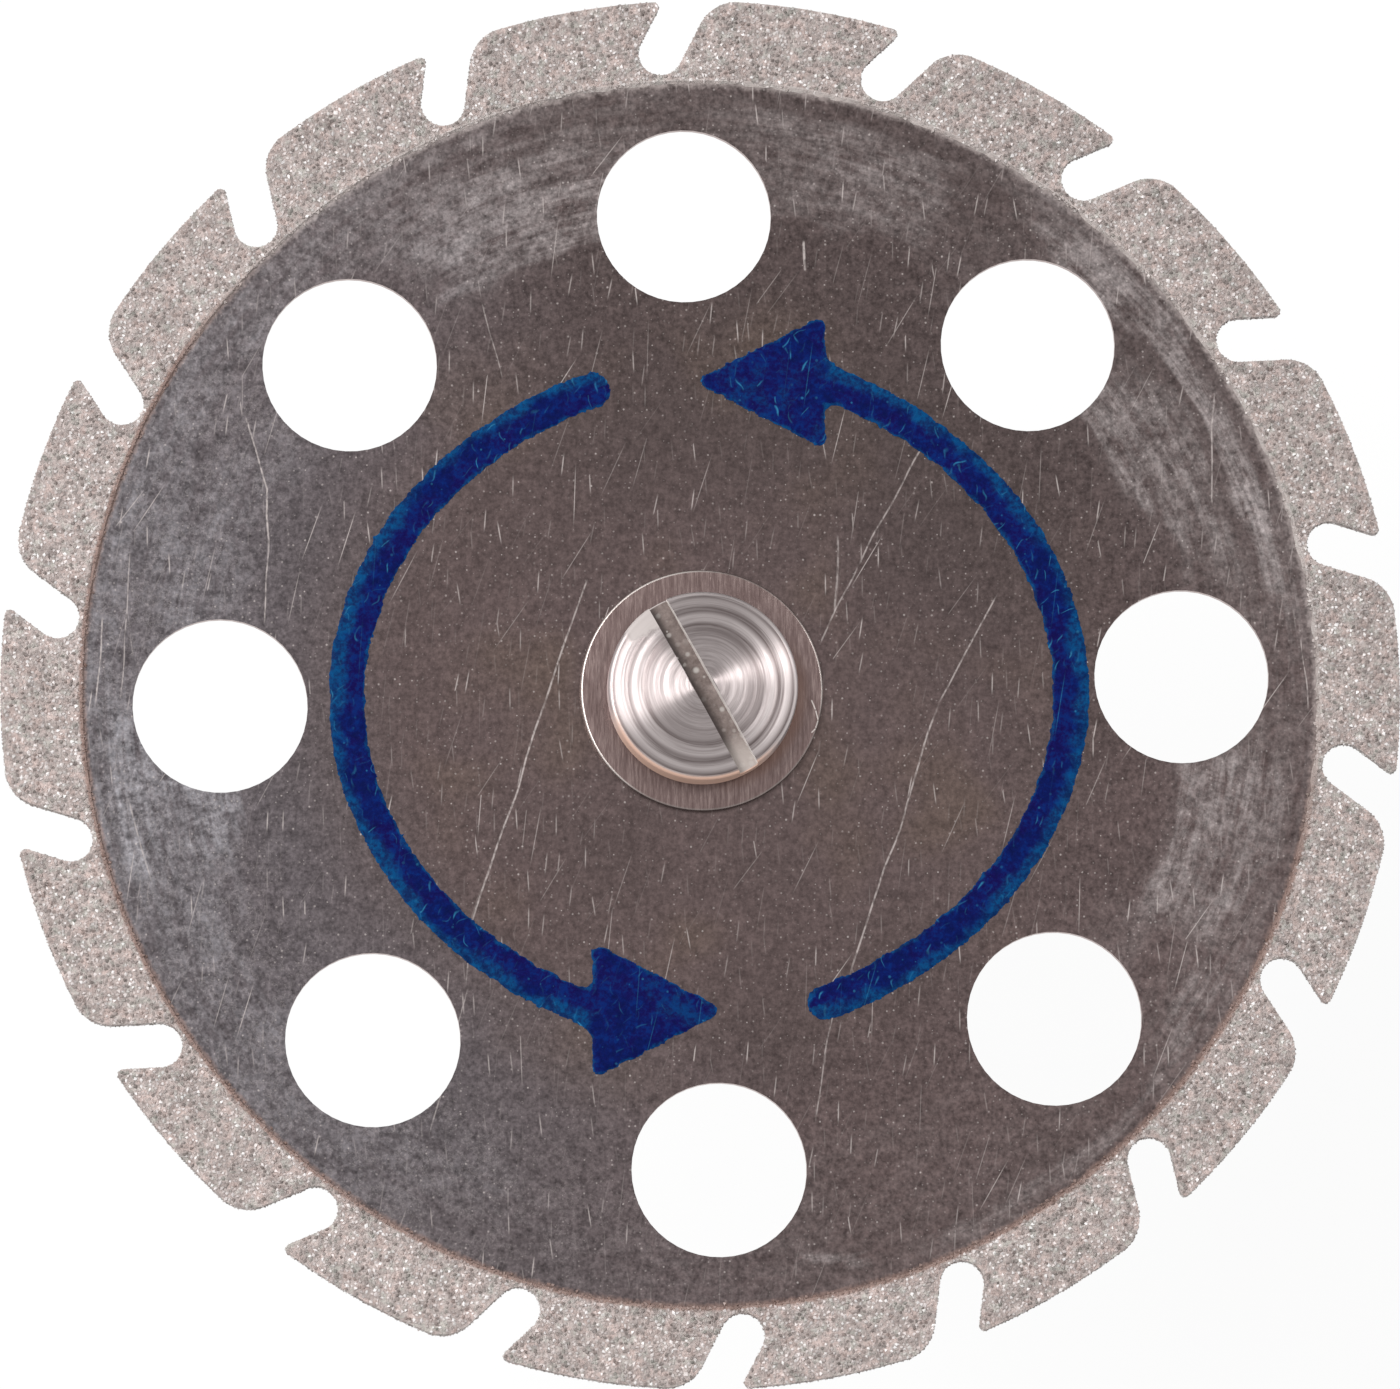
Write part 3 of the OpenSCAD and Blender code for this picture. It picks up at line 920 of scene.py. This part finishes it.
def makeInkSheet(form, side, layers):
    look = inkLook
    cell = look["cell"]
    xs, ys = np.arange(*look["gridX"], cell), np.arange(*look["gridY"], cell)
    gridX, gridY = np.meshgrid(xs, ys, indexing="ij")
    depth, outward = inkDepth(gridX, gridY)
    for i, j in np.argwhere(np.abs(depth) < 0.3):
        depth[i, j] += ragged(xs[i], ys[j], 3.0 + 40 * side)
    slopeX, slopeY = np.gradient(depth, cell)
    middle = (depth[:-1, :-1] + depth[1:, :-1] + depth[1:, 1:] + depth[:-1, 1:]) / 4
    corners = {}

    def cornerAt(i, j):
        if (i, j) not in corners:
            x, y, d = xs[i], ys[j], depth[i, j]
            if d < 0.6 * cell:  # a corner near the outline is moved onto it
                steep = math.hypot(slopeX[i, j], slopeY[i, j]) + 1e-6
                x -= d * slopeX[i, j] / steep**2
                y -= d * slopeY[i, j] / steep**2
                d = 0.0
            px, py = look["printCentre"]
            top = look["thickness"] * (0.45 + 0.55 * min(1.0, d / 0.09))
            vert = form.verts.new(((px + side * x) * mm, (py + side * y) * mm, (faceZ + top) * mm))
            vert[layers[0]] = d
            vert[layers[1]] = outward[i, j]
            corners[i, j] = vert
        return corners[i, j]

    for i, j in np.argwhere(middle > 0):
        around = ((i, j), (i + 1, j), (i + 1, j + 1), (i, j + 1))
        form.faces.new([cornerAt(*place) for place in around])


def makeInk():
    finish, tree, shader, point = newFinish("blueInk", 0.0, 0.5, Specular_IOR_Level=0.03)
    look = inkLook
    depth = addNode(tree, "ShaderNodeAttribute", attribute_name="inkDepth").outputs["Fac"]
    outward = addNode(tree, "ShaderNodeAttribute", attribute_name="inkOutward").outputs["Fac"]
    grain = useGroup(tree, surfaceGrain, Point=point, Size=look["grainSize"])["Grain"]
    cloud = noiseAt(tree, point, 0.8, 4.0, 0.65)
    colour = blendColour(tree, remap(tree, cloud, 0.4, 0.6), look["navy"], look["purple"])
    patches = remap(tree, plus(tree, grain, cloud), 0.9, 1.3)
    colour = blendColour(tree, times(tree, patches, 0.8), colour, look["blue"])

    # The ink ran thin along the outer side and at the rim, where it looks teal
    outerSide = plus(tree, outward, remap(tree, cloud, 0.3, 0.7, -0.25, 0.25))
    outerSide = remap(tree, outerSide, 0.05, 0.5)
    rimWidth = remap(tree, noiseAt(tree, point, 1.3, 3.0, 0.6), 0.4, 0.65, 0.03, 0.16)
    rim = remap(tree, calc(tree, "DIVIDE", depth, rimWidth), 1.2, 0.2)
    thin = calc(tree, "MAXIMUM", times(tree, rim, 0.5), times(tree, outerSide, 0.6))
    thin = times(tree, thin, remap(tree, grain, 0.2, 0.7, 0.45, 1.0))
    colour = blendColour(tree, thin, colour, look["teal"])
    moved = useGroup(tree, waver, Point=point, Scale=2.6, Amount=0.3)["Moved"]
    bits = useGroup(tree, fineScratches, Point=moved, Turn=0.3, Spacing=0.26, Length=0.5,
                    Width=0.04, Share=0.4, Slant=1.8, Shift=5.0)
    colour = blendColour(tree, bits["Mask"], colour, look["fleck"])
    scored = useGroup(tree, fineScratches, Point=point, Turn=0.16, Spacing=0.75, Length=3.0,
                      Width=0.024, Share=0.5, Slant=0.3, Shift=7.0)
    colour = blendColour(tree, times(tree, scored["Mask"], 0.5), colour, look["fleck"])
    chips = useGroup(tree, dustDots, Point=point, Spacing=0.4, Size=0.05, Share=0.3)
    colour = blendColour(tree, times(tree, chips["Mask"], 0.6), colour, look["fleck"])
    colour = shaded(tree, colour, remap(tree, grain, 0.0, 1.0, 0.66, 1.3))
    feed(tree, shader["Base Color"], colour)
    feed(tree, shader["Roughness"], remap(tree, grain, 0.0, 1.0, *look["roughness"]))
    addBump(tree, shader, grain, look["bumpDepth"])
    return finish


blueInk = makeInk()
inkForm = bmesh.new()
inkLayers = [inkForm.verts.layers.float.new(name) for name in ("inkDepth", "inkOutward")]
for side in (1, -1):
    makeInkSheet(inkForm, side, inkLayers)
bmesh.ops.recalc_face_normals(inkForm, faces=inkForm.faces)
for face in inkForm.faces:
    if face.normal.z < 0:
        face.normal_flip()
topFaces = list(inkForm.faces)
lower = bmesh.ops.duplicate(inkForm, geom=inkForm.verts[:] + inkForm.edges[:] + topFaces)
twins = lower["vert_map"]
for corner in [item for item in lower["geom"] if isinstance(item, bmesh.types.BMVert)]:
    corner.co.z = faceZ * mm
lowerFaces = [item for item in lower["geom"] if isinstance(item, bmesh.types.BMFace)]
bmesh.ops.reverse_faces(inkForm, faces=lowerFaces)
topEdges = [edge for face in topFaces for edge in face.edges if len(edge.link_faces) == 1]
for edge in topEdges:
    loop = edge.link_loops[0]
    a, b = loop.vert, loop.link_loop_next.vert
    inkForm.faces.new((b, a, twins[a], twins[b]))
arrows = newPiece("printedArrows", inkForm, blueInk, 40)
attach(arrows, "root")
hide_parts("rotation_arrows")
print("printed arrows have", len(arrows.data.polygons), "faces")


# The washer: a stamped ring with a rounded rim and straight brushing
washerLook = {
    "bore": 2.1,
    "size": 7.8,
    "base": tint(99, 84, 82),
    "dark": tint(82, 68, 66),
    "bright": tint(120, 105, 102),
    # colour of the painted highlights on the rim and of the hooked scratch
    "rim": tint(206, 198, 193),
    # painted shadow of the screw's head on the washer, brown, towards the lower right
    "headShadowTint": tint(98, 76, 68),
    "headShadowWay": (0.9, -0.43, 0),
    "brushings": [((11.0, 0.9, 1.0), 4.0, 0.6), ((26.0, 2.2, 1.0), 3.0, 0.4)],  # scale, detail, share
    # painted highlights on the rim, as (direction, reach from, reach to, strength)
    "paintedGlints": [((-0.94, 0.34, 0), -0.1, 0.75, 1.0), ((0.97, 0.24, 0), 0.86, 0.98, 0.6)],
    "hook": [(3.52, -0.28), (3.66, -0.62), (3.74, -0.95), (3.66, -1.22), (3.52, -1.36)],
    "bumpDepth": 0.006,
}


def makeWasherSteel():
    finish, tree, shader, point = newFinish("washerSteel", 1.0, 0.33)
    look = washerLook
    value = plus(tree, *[
        times(tree, noiseAt(tree, vecCalc(tree, "MULTIPLY", point, scale), 1.0, detail, 0.7), share)
        for scale, detail, share in look["brushings"]
    ])
    tones = [(0.36, look["dark"]), (0.5, look["base"]), (0.62, look["bright"])]
    colour = ramp(tree, value, tones)
    polar = useGroup(tree, polarPlace, Point=point)
    radius, direction = polar["Radius"], polar["Direction"]
    # painted shadow of the screw's head, brown, on the washer next to it at the lower right
    headShadowSide = remap(tree, dot(tree, direction, look["headShadowWay"]), 0.45, 0.95)
    headShadowTint = times(tree, headShadowSide, remap(tree, radius, 3.55, 3.1), 0.7)
    colour = blendColour(tree, headShadowTint, colour, look["headShadowTint"])

    # The rim has painted highlights at the left and a little at the right, and a hooked scratch shines at
    # the right
    rim = remap(tree, radius, 3.82, 3.87)
    paintedGlint = 0.2
    for way, low, high, strength in look["paintedGlints"]:
        side = times(tree, remap(tree, dot(tree, direction, way), low, high), strength)
        paintedGlint = calc(tree, "MAXIMUM", paintedGlint, side)
    colour = blendColour(tree, times(tree, rim, paintedGlint), colour, look["rim"])
    hook = [(start, stop, 0.03, 0.6) for start, stop in zip(look["hook"], look["hook"][1:])]
    colour = blendColour(tree, drawScratches(tree, point, hook), colour, look["rim"])
    feed(tree, shader["Base Color"], colour)
    addBump(tree, shader, value, look["bumpDepth"])
    return finish


washerSteel = makeWasherSteel()
bore, rimR = washerLook["bore"] / 2, washerLook["size"] / 2
washerCorners = [
    (bore, faceZ, 0.03),
    (rimR, faceZ, 0.02),
    (rimR, headZ, 0.07),
    (bore, headZ, 0.03),
]
washerForm = latheForm(softOutline(washerCorners, 6), 256, loop=True)
washer = newPiece("steelWasher", washerForm, washerSteel, 50)
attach(washer, "root")
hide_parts("clamp_washer")
print("washer made")


# The screw: a turned head with its tool marks, a sawn slot and a fine thread
screwLook = {
    "headRadius": 3.05,
    "headHeight": 1.4,
    "crown": 0.27,
    "rounding": 0.15,
    "slotWidth": 0.66,
    "slotDepth": 0.75,
    "slotTurn": -60.95,
    "slotLip": 0.05,
    "threadRadius": 1.0,
    "threadDepth": 0.12,
    "pitch": 0.4,
    "length": 5.0,
    "sawn": (0.3, 0.4),  # the slot lies above this height over the washer
    "grooves": [  # radius, width and depth, as the tool left them
        (2.5, 0.05, 0.005), (2.28, 0.07, 0.009), (1.98, 0.09, 0.01), (1.62, 0.06, 0.005),
        (1.3, 0.05, 0.005), (0.95, 0.06, 0.003), (0.6, 0.05, 0.003),
    ],
    "tones": [  # share of the head's radius, and how light the turned metal is there
        (0.0, 0.5), (0.24, 0.42), (0.4, 0.5), (0.55, 0.36), (0.63, 0.16), (0.67, 0.5), (0.74, 0.7),
        (0.79, 0.12), (0.83, 0.26), (0.88, 0.7), (0.915, 0.5), (0.945, 0.1), (0.965, 0.65), (1.0, 0.95),
    ],
    "darkRing": tint(92, 82, 81),
    "paleRing": tint(190, 181, 180),
    # painted coppery reflection on the side of the head
    "copperReflection": tint(206, 168, 148),
    "copperReflectionWay": (-0.2, -0.98, 0),
    "grainSize": 0.14,
    "roughness": (0.33, 0.6),  # of the turned metal and of the dull places
    "bumpDepth": 0.008,
    "floor": tint(146, 132, 127),
    "floorDark": tint(92, 80, 76),
    "floorShade": tint(62, 52, 50),
    "floorPale": tint(190, 180, 174),
    "speck": tint(208, 203, 198),
    "wall": tint(226, 219, 214),
    "dent": tint(186, 177, 174),
}


def turnedTop():  # from the rounding to the axis: a low, grooved crown
    look = screwLook
    flatRadius = look["headRadius"] - look["rounding"] * 0.35
    outline = []
    step = 0.03
    count = int(flatRadius / step)
    for k in range(count + 1):
        r = flatRadius * (1 - k / count)
        share = r / look["headRadius"]
        height = look["headHeight"] - look["crown"] * (0.7 * share + 0.3 * share**2)
        height += 0.0011 * noise.noise(Vector((r * 14.0, 0, 4)))
        height += 0.002 * noise.noise(Vector((r * 5.0, 7, 1)))
        for middle, width, depth in look["grooves"]:
            height -= depth * math.exp(-((r - middle) / width)**2)
        outline.append(Vector((r, headZ + height)))
    return outline


def makeScrewForm():
    look = screwLook
    headR, edgeZ = look["headRadius"], headZ + look["headHeight"] - look["crown"]
    bend = look["rounding"]
    side = [Vector((0, headZ)), Vector((headR, headZ)), Vector((headR, edgeZ - bend))]
    for k in range(1, 8):  # the head's rounded edge
        a = math.radians(k * 10)
        side.append(Vector((headR - bend + bend * math.cos(a), edgeZ - bend + bend * math.sin(a))))
    top = [p for p in turnedTop() if p.x < side[-1].x - 0.02]
    return latheForm(side + top, 288)


def slotCutter():  # a bar as wide as the slot, flared at the top so that the edges are broken
    look = screwLook
    form = bmesh.new()
    topZ = headZ + look["headHeight"]
    half, lip, floorZ = look["slotWidth"] / 2, look["slotLip"], topZ - look["slotDepth"]
    flare, flareZ = half + 3 * lip, topZ + 2 * lip
    section = [(-half, floorZ), (half, floorZ), (half, topZ - lip),
               (flare, flareZ), (-flare, flareZ), (-half, topZ - lip)]
    a = math.radians(look["slotTurn"])
    ends = []
    for along in (-4.0, 4.0):
        ends.append([
            form.verts.new(((along * math.cos(a) - across * math.sin(a)) * mm,
                            (along * math.sin(a) + across * math.cos(a)) * mm, z * mm))
            for across, z in section
        ])
    form.faces.new(ends[0])
    form.faces.new(ends[1])
    for k in range(len(section)):
        n = (k + 1) % len(section)
        form.faces.new((ends[0][k], ends[0][n], ends[1][n], ends[1][k]))
    bmesh.ops.recalc_face_normals(form, faces=form.faces)
    return form


def makeThread():  # one helical strip, closed at both ends
    look = screwLook
    form = bmesh.new()
    steps, pitch = 40, look["pitch"]
    crest, root = look["threadRadius"], look["threadRadius"] - look["threadDepth"]
    tip, gap = 0.3, 0.55  # plain lengths at the end and under the head
    low = headZ - look["length"] + tip
    turns = (look["length"] - tip - gap) / pitch
    profile = [(root, 0.0), (crest, 0.4 * pitch), (crest, 0.55 * pitch), (root, 0.95 * pitch)]
    rows = []
    for k in range(int(turns * steps) + 1):
        a = math.tau * k / steps
        fade = min(1.0, k / steps, (turns * steps - k) / steps)
        row = []
        for r, z in profile:
            r = root + (r - root) * fade
            height = low + pitch * k / steps + z
            row.append(form.verts.new((r * math.cos(a) * mm, r * math.sin(a) * mm, height * mm)))
        rows.append(row)
    endZ, topZ = headZ - look["length"], headZ + 0.1
    core = latheForm([(0, endZ), (crest - tip, endZ), (root, low), (root, topZ), (0, topZ)], 64)
    for lower, upper in zip(rows, rows[1:]):
        for k in range(len(profile) - 1):
            form.faces.new((lower[k], upper[k], upper[k + 1], lower[k + 1]))
        form.faces.new((lower[-1], upper[-1], upper[0], lower[0]))
    form.faces.new(rows[0])
    form.faces.new(rows[-1])
    bmesh.ops.remove_doubles(form, verts=form.verts, dist=1e-9)
    bmesh.ops.recalc_face_normals(form, faces=form.faces)
    extra = bpy.data.meshes.new("threadCore")
    core.to_mesh(extra)
    core.free()
    form.from_mesh(extra)
    bpy.data.meshes.remove(extra)
    return form


def makeScrewSteel():
    finish, tree, shader, point = newFinish("screwSteel", 1.0, 0.3, Anisotropic=0.9)
    look = screwLook
    shader["Anisotropic Rotation"].default_value = 0.25
    polar = useGroup(tree, polarPlace, Point=point, Around=0.6, Across=9.0)
    radius, direction = polar["Radius"], polar["Direction"]
    height = splitXYZ(tree, point)[2]
    rings = noiseAt(tree, polar["Strip"], 1.0, 4.0, 0.7)
    share = calc(tree, "DIVIDE", radius, look["headRadius"])
    wobble = plus(tree, share, remap(tree, rings, 0.3, 0.7, -0.012, 0.012))
    stops = [(place, (tone, tone, tone, 1.0)) for place, tone in look["tones"]]
    fineRings = remap(tree, rings, 0.35, 0.65, -0.14, 0.14)
    tone = plus(tree, ramp(tree, wobble, stops), fineRings, clamp=True)
    colour = blendColour(tree, tone, look["darkRing"], look["paleRing"])
    tangent = addNode(tree, "ShaderNodeTangent", direction_type="RADIAL", axis="Z")
    tree.links.new(tangent.outputs[0], shader["Tangent"])

    # A painted coppery reflection on the side of the head, below, from the lower left round to the lower
    # right
    below = remap(tree, height, headZ + 1.2, headZ + 1.1)
    under = remap(tree, dot(tree, direction, look["copperReflectionWay"]), 0.35, 0.75)
    copperReflection = times(tree, below, under, remap(tree, radius, 2.9, 3.0))
    colour = blendColour(tree, times(tree, copperReflection, 0.9), colour, look["copperReflection"])

    # A dent at the slot's upper end, dull and without rings
    lean = math.radians(look["slotTurn"])
    along = dot(tree, point, (-math.cos(lean), -math.sin(lean), 0))
    beside = dot(tree, point, (math.sin(lean), -math.cos(lean), 0))
    grain = useGroup(tree, surfaceGrain, Point=point, Size=look["grainSize"])["Grain"]
    dent = remap(tree, plus(tree, along, times(tree, grain, 0.25)), 2.3, 2.55)
    dent = times(tree, dent, remap(tree, beside, 1.5, 1.2), remap(tree, beside, -0.34, -0.28))
    colour = blendColour(tree, times(tree, dent, 0.85), colour, look["dent"])

    # The slot's walls are sawn bright, and its floor is dull, brownish and specked
    sawn = remap(tree, height, *[headZ + rise for rise in look["sawn"]])
    inside = times(tree, remap(tree, radius, 3.04, 3.0), sawn)
    facing = addNode(tree, "ShaderNodeNewGeometry").outputs["Normal"]
    upright = remap(tree, splitXYZ(tree, facing)[2], 0.6, 0.3)
    walls = times(tree, inside, upright)
    patchy = times(tree, walls, remap(tree, grain, 0.0, 1.0, 0.5, 1.0))
    colour = blendColour(tree, patchy, colour, look["wall"])
    bottom = times(tree, inside, remap(tree, height, headZ + 0.85, headZ + 0.75))
    bottom = times(tree, bottom, calc(tree, "SUBTRACT", 1.0, upright))
    dull = blendColour(tree, grain, look["floorDark"], look["floor"])
    # painted shadow along the slot's lower left wall
    dull = blendColour(tree, remap(tree, beside, -0.05, 0.25, 0.0, 0.8), dull, look["floorShade"])
    dull = blendColour(tree, remap(tree, along, -1.6, -2.6, 0.0, 0.7), dull, look["floorPale"])
    specks = useGroup(tree, dustDots, Point=point, Spacing=0.3, Size=0.11, Share=0.4)
    dull = blendColour(tree, times(tree, specks["Mask"], 0.7), dull, look["speck"])
    colour = blendColour(tree, bottom, colour, dull)
    matt = calc(tree, "MAXIMUM", copperReflection, dent)
    matt = calc(tree, "MAXIMUM", matt, calc(tree, "MAXIMUM", walls, bottom))
    feed(tree, shader["Base Color"], colour)
    feed(tree, shader["Metallic"], remap(tree, matt, 0.0, 1.0, 1.0, 0.25))
    feed(tree, shader["Roughness"], remap(tree, matt, 0.0, 1.0, *look["roughness"]))
    addBump(tree, shader, rings, look["bumpDepth"])
    return finish


screwSteel = makeScrewSteel()
head = newPiece("screwHead", makeScrewForm(), screwSteel, 40)
cutter = newPiece("slotCutter", slotCutter(), screwSteel)
cut = head.modifiers.new("slot", "BOOLEAN")
cut.operation, cut.solver, cut.object = "DIFFERENCE", "EXACT", cutter
graph = bpy.context.evaluated_depsgraph_get()
cutHead = bpy.data.meshes.new_from_object(head.evaluated_get(graph), depsgraph=graph)
screwForm = makeThread()
screwForm.from_mesh(cutHead)
for helper in (head, cutter):
    bpy.data.objects.remove(helper)
screw = newPiece("slottedScrew", screwForm, screwSteel, 35)
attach(screw, "root")
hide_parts("clamp_screw")
print("screw has", len(screw.data.polygons), "faces")


# The mandrel: shank, taper, hub and flange turned in one piece
mandrelLook = {
    "shankRadius": 1.175,
    "shankLength": 36.0,
    "taperLength": 2.4,
    "hubRadius": 2.3,
    "hubLength": 3.4,
    "flangeRadius": 3.9,
    "flangeChamfer": 0.3,
    "endChamfer": 0.3,
    "holeRadius": 1.02,
    "holeDepth": 4.95,
    "steel": tint(182, 180, 181),
    "ring": tint(128, 125, 126),
    "ringsPerMm": 8.0,
    "roughness": (0.2, 0.34),
    "bumpDepth": 0.004,
}


def makeMandrelSteel():
    finish, tree, shader, point = newFinish("mandrelSteel", 1.0, 0.26, Anisotropic=0.5)
    polar = useGroup(tree, polarPlace, Point=point, Around=0.35, Across=6.0)
    lift = joinXYZ(tree, z=times(tree, splitXYZ(tree, point)[2], mandrelLook["ringsPerMm"]))
    rings = noiseAt(tree, vecCalc(tree, "ADD", polar["Strip"], lift), 1.0, 4.0, 0.75)
    grain = useGroup(tree, surfaceGrain, Point=point, Size=0.25)["Grain"]
    dark = remap(tree, rings, 0.42, 0.66, 0.0, 0.75)
    colour = blendColour(tree, dark, mandrelLook["steel"], mandrelLook["ring"])
    nicks = useGroup(tree, fineScratches, Point=point, Turn=1.2, Spacing=1.2, Length=2.0,
                     Width=0.03, Share=0.3, Slant=0.8, Shift=2.0)
    colour = blendColour(tree, times(tree, nicks["Mask"], 0.5), colour, mandrelLook["ring"])
    feed(tree, shader["Base Color"], colour)
    feed(tree, shader["Roughness"], remap(tree, grain, 0.0, 1.0, *mandrelLook["roughness"]))
    addBump(tree, shader, rings, mandrelLook["bumpDepth"])
    tangent = addNode(tree, "ShaderNodeTangent", direction_type="RADIAL", axis="Z")
    tree.links.new(tangent.outputs[0], shader["Tangent"])
    return finish


def mandrelCorners():
    look = mandrelLook
    hubZ = look["shankLength"] + look["taperLength"]
    flangeZ = hubZ + look["hubLength"]
    shank, hub, flange = look["shankRadius"], look["hubRadius"], look["flangeRadius"]
    return [
        (0, -look["endChamfer"], 0),
        (shank - look["endChamfer"], -look["endChamfer"], 0.08),
        (shank, 0, 0.15),
        (shank, look["shankLength"], 0.8),
        (hub, hubZ, 0.5),
        (hub, flangeZ, 0.2),
        (flange - look["flangeChamfer"], flangeZ, 0.08),
        (flange, flangeZ + look["flangeChamfer"], 0.08),
        (flange, seatZ, 0.06),
        (look["holeRadius"] + 0.15, seatZ, 0.02),
        (look["holeRadius"], seatZ - 0.15, 0.02),
        (look["holeRadius"], seatZ - look["holeDepth"], 0),
        (0, seatZ - look["holeDepth"] - look["holeRadius"] / 2, 0),
    ]


mandrelSteel = makeMandrelSteel()
mandrelForm = latheForm(softOutline(mandrelCorners(), 5), 128)
mandrel = newPiece("turnedMandrel", mandrelForm, mandrelSteel, 45)
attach(mandrel, "root")
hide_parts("mandrel")
print("mandrel made")


# Floor, light and camera; the object stands on its shank and is seen from above
sceneLook = {
    "floorSize": 1.2,
    "floorZ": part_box("mandrel")[0].z,
    "ambient": 0.58,
    "floorTints": (tint(250, 250, 249), tint(252, 252, 252)),
    "floorGlow": 0.9,  # share of plain white that the eye sees in place of the floor's own colour
    "lamps": [  # name, direction's turn and tilt from the axis in degrees, distance, width and height, watts
        ("keyLamp", 160, 30, 0.55, (0.44, 0.1), 2.65),
        ("fillLamp", 32, 30, 0.6, (0.06, 0.1), 0.55),
    ],
    "eye": (-24.02, -75.62, 551.8),
    "aim": (-0.048, -0.104, 0.0),
    "lens": 446.0,
}


def throughWindow(tree):  # 1 where the eye, a gloss or a glass ray looks
    path = addNode(tree, "ShaderNodeLightPath").outputs
    seen = calc(tree, "MAXIMUM", path["Is Camera Ray"], path["Is Glossy Ray"])
    return calc(tree, "MAXIMUM", seen, path["Is Transmission Ray"])


def makeFloor():
    finish = bpy.data.materials.new("paleFloor")
    finish.use_nodes = True
    tree = finish.node_tree
    base = tree.nodes["Principled BSDF"]
    place = addNode(tree, "ShaderNodeTexCoord").outputs["Object"]
    point = vecCalc(tree, "SCALE", place, 1 / mm)
    fleck = noiseAt(tree, point, 0.05, 3.0)
    colour = blendColour(tree, fleck, *sceneLook["floorTints"])
    feed(tree, base.inputs["Base Color"], colour)
    base.inputs["Roughness"].default_value = 0.9
    glow = addNode(tree, "ShaderNodeEmission")
    mixer = addNode(tree, "ShaderNodeMixShader")
    feed(tree, mixer.inputs[0], times(tree, throughWindow(tree), sceneLook["floorGlow"]))
    tree.links.new(base.outputs[0], mixer.inputs[1])
    tree.links.new(glow.outputs[0], mixer.inputs[2])
    tree.links.new(mixer.outputs[0], tree.nodes["Material Output"].inputs["Surface"])
    form = bmesh.new()
    bmesh.ops.create_grid(form, x_segments=4, y_segments=4, size=sceneLook["floorSize"] / 2)
    for corner in form.verts:
        corner.co.z = sceneLook["floorZ"]
    return newPiece("floor", form, finish)


def makeWorld():
    world = bpy.data.worlds.new("softRoom")
    bpy.context.scene.world = world
    world.use_nodes = True
    tree = world.node_tree
    back = tree.nodes["Background"]
    seen = throughWindow(tree)
    feed(tree, back.inputs["Strength"], remap(tree, seen, 0.0, 1.0, sceneLook["ambient"], 1.0, smooth=False))
    back.inputs["Color"].default_value = (1, 1, 1, 1)


def addLamp(name, turn, tilt, distance, size, watts):
    light = bpy.data.lights.new(name, "AREA")
    light.shape = "ELLIPSE"
    light.size, light.size_y = size
    light.energy = watts
    lamp = bpy.data.objects.new(name, light)
    bpy.context.scene.collection.objects.link(lamp)
    turn, tilt = math.radians(turn), math.radians(tilt)
    away = Vector((math.cos(turn), math.sin(turn), 0)) * math.sin(tilt)
    away.z = math.cos(tilt)
    lamp.location = away * distance + Vector((0, 0, faceZ * mm))
    right = Vector((0, 0, 1)).cross(away).normalized()  # the lamp's long side lies level
    lamp.rotation_euler = Matrix((right, away.cross(right), away)).transposed().to_euler()


def addCamera():
    data = bpy.data.cameras.new("photoCamera")
    data.lens, data.sensor_width = sceneLook["lens"], 36.0
    data.clip_start, data.clip_end = 0.01, 10.0
    camera = bpy.data.objects.new("photoCamera", data)
    bpy.context.scene.collection.objects.link(camera)
    lift = Vector((0, 0, faceZ))
    eye, aim = Vector(sceneLook["eye"]) + lift, Vector(sceneLook["aim"]) + lift
    back = (eye - aim).normalized()
    right = Vector((0, 1, 0)).cross(back).normalized()
    up = back.cross(right)
    turn = Matrix((right, up, back)).transposed().to_4x4()
    camera.matrix_world = Matrix.Translation(eye * mm) @ turn
    bpy.context.scene.camera = camera


makeFloor()
makeWorld()
for lampValues in sceneLook["lamps"]:
    addLamp(*lampValues)
addCamera()
bpy.context.scene.view_settings.view_transform = "Standard"
print("floor, light and camera set")
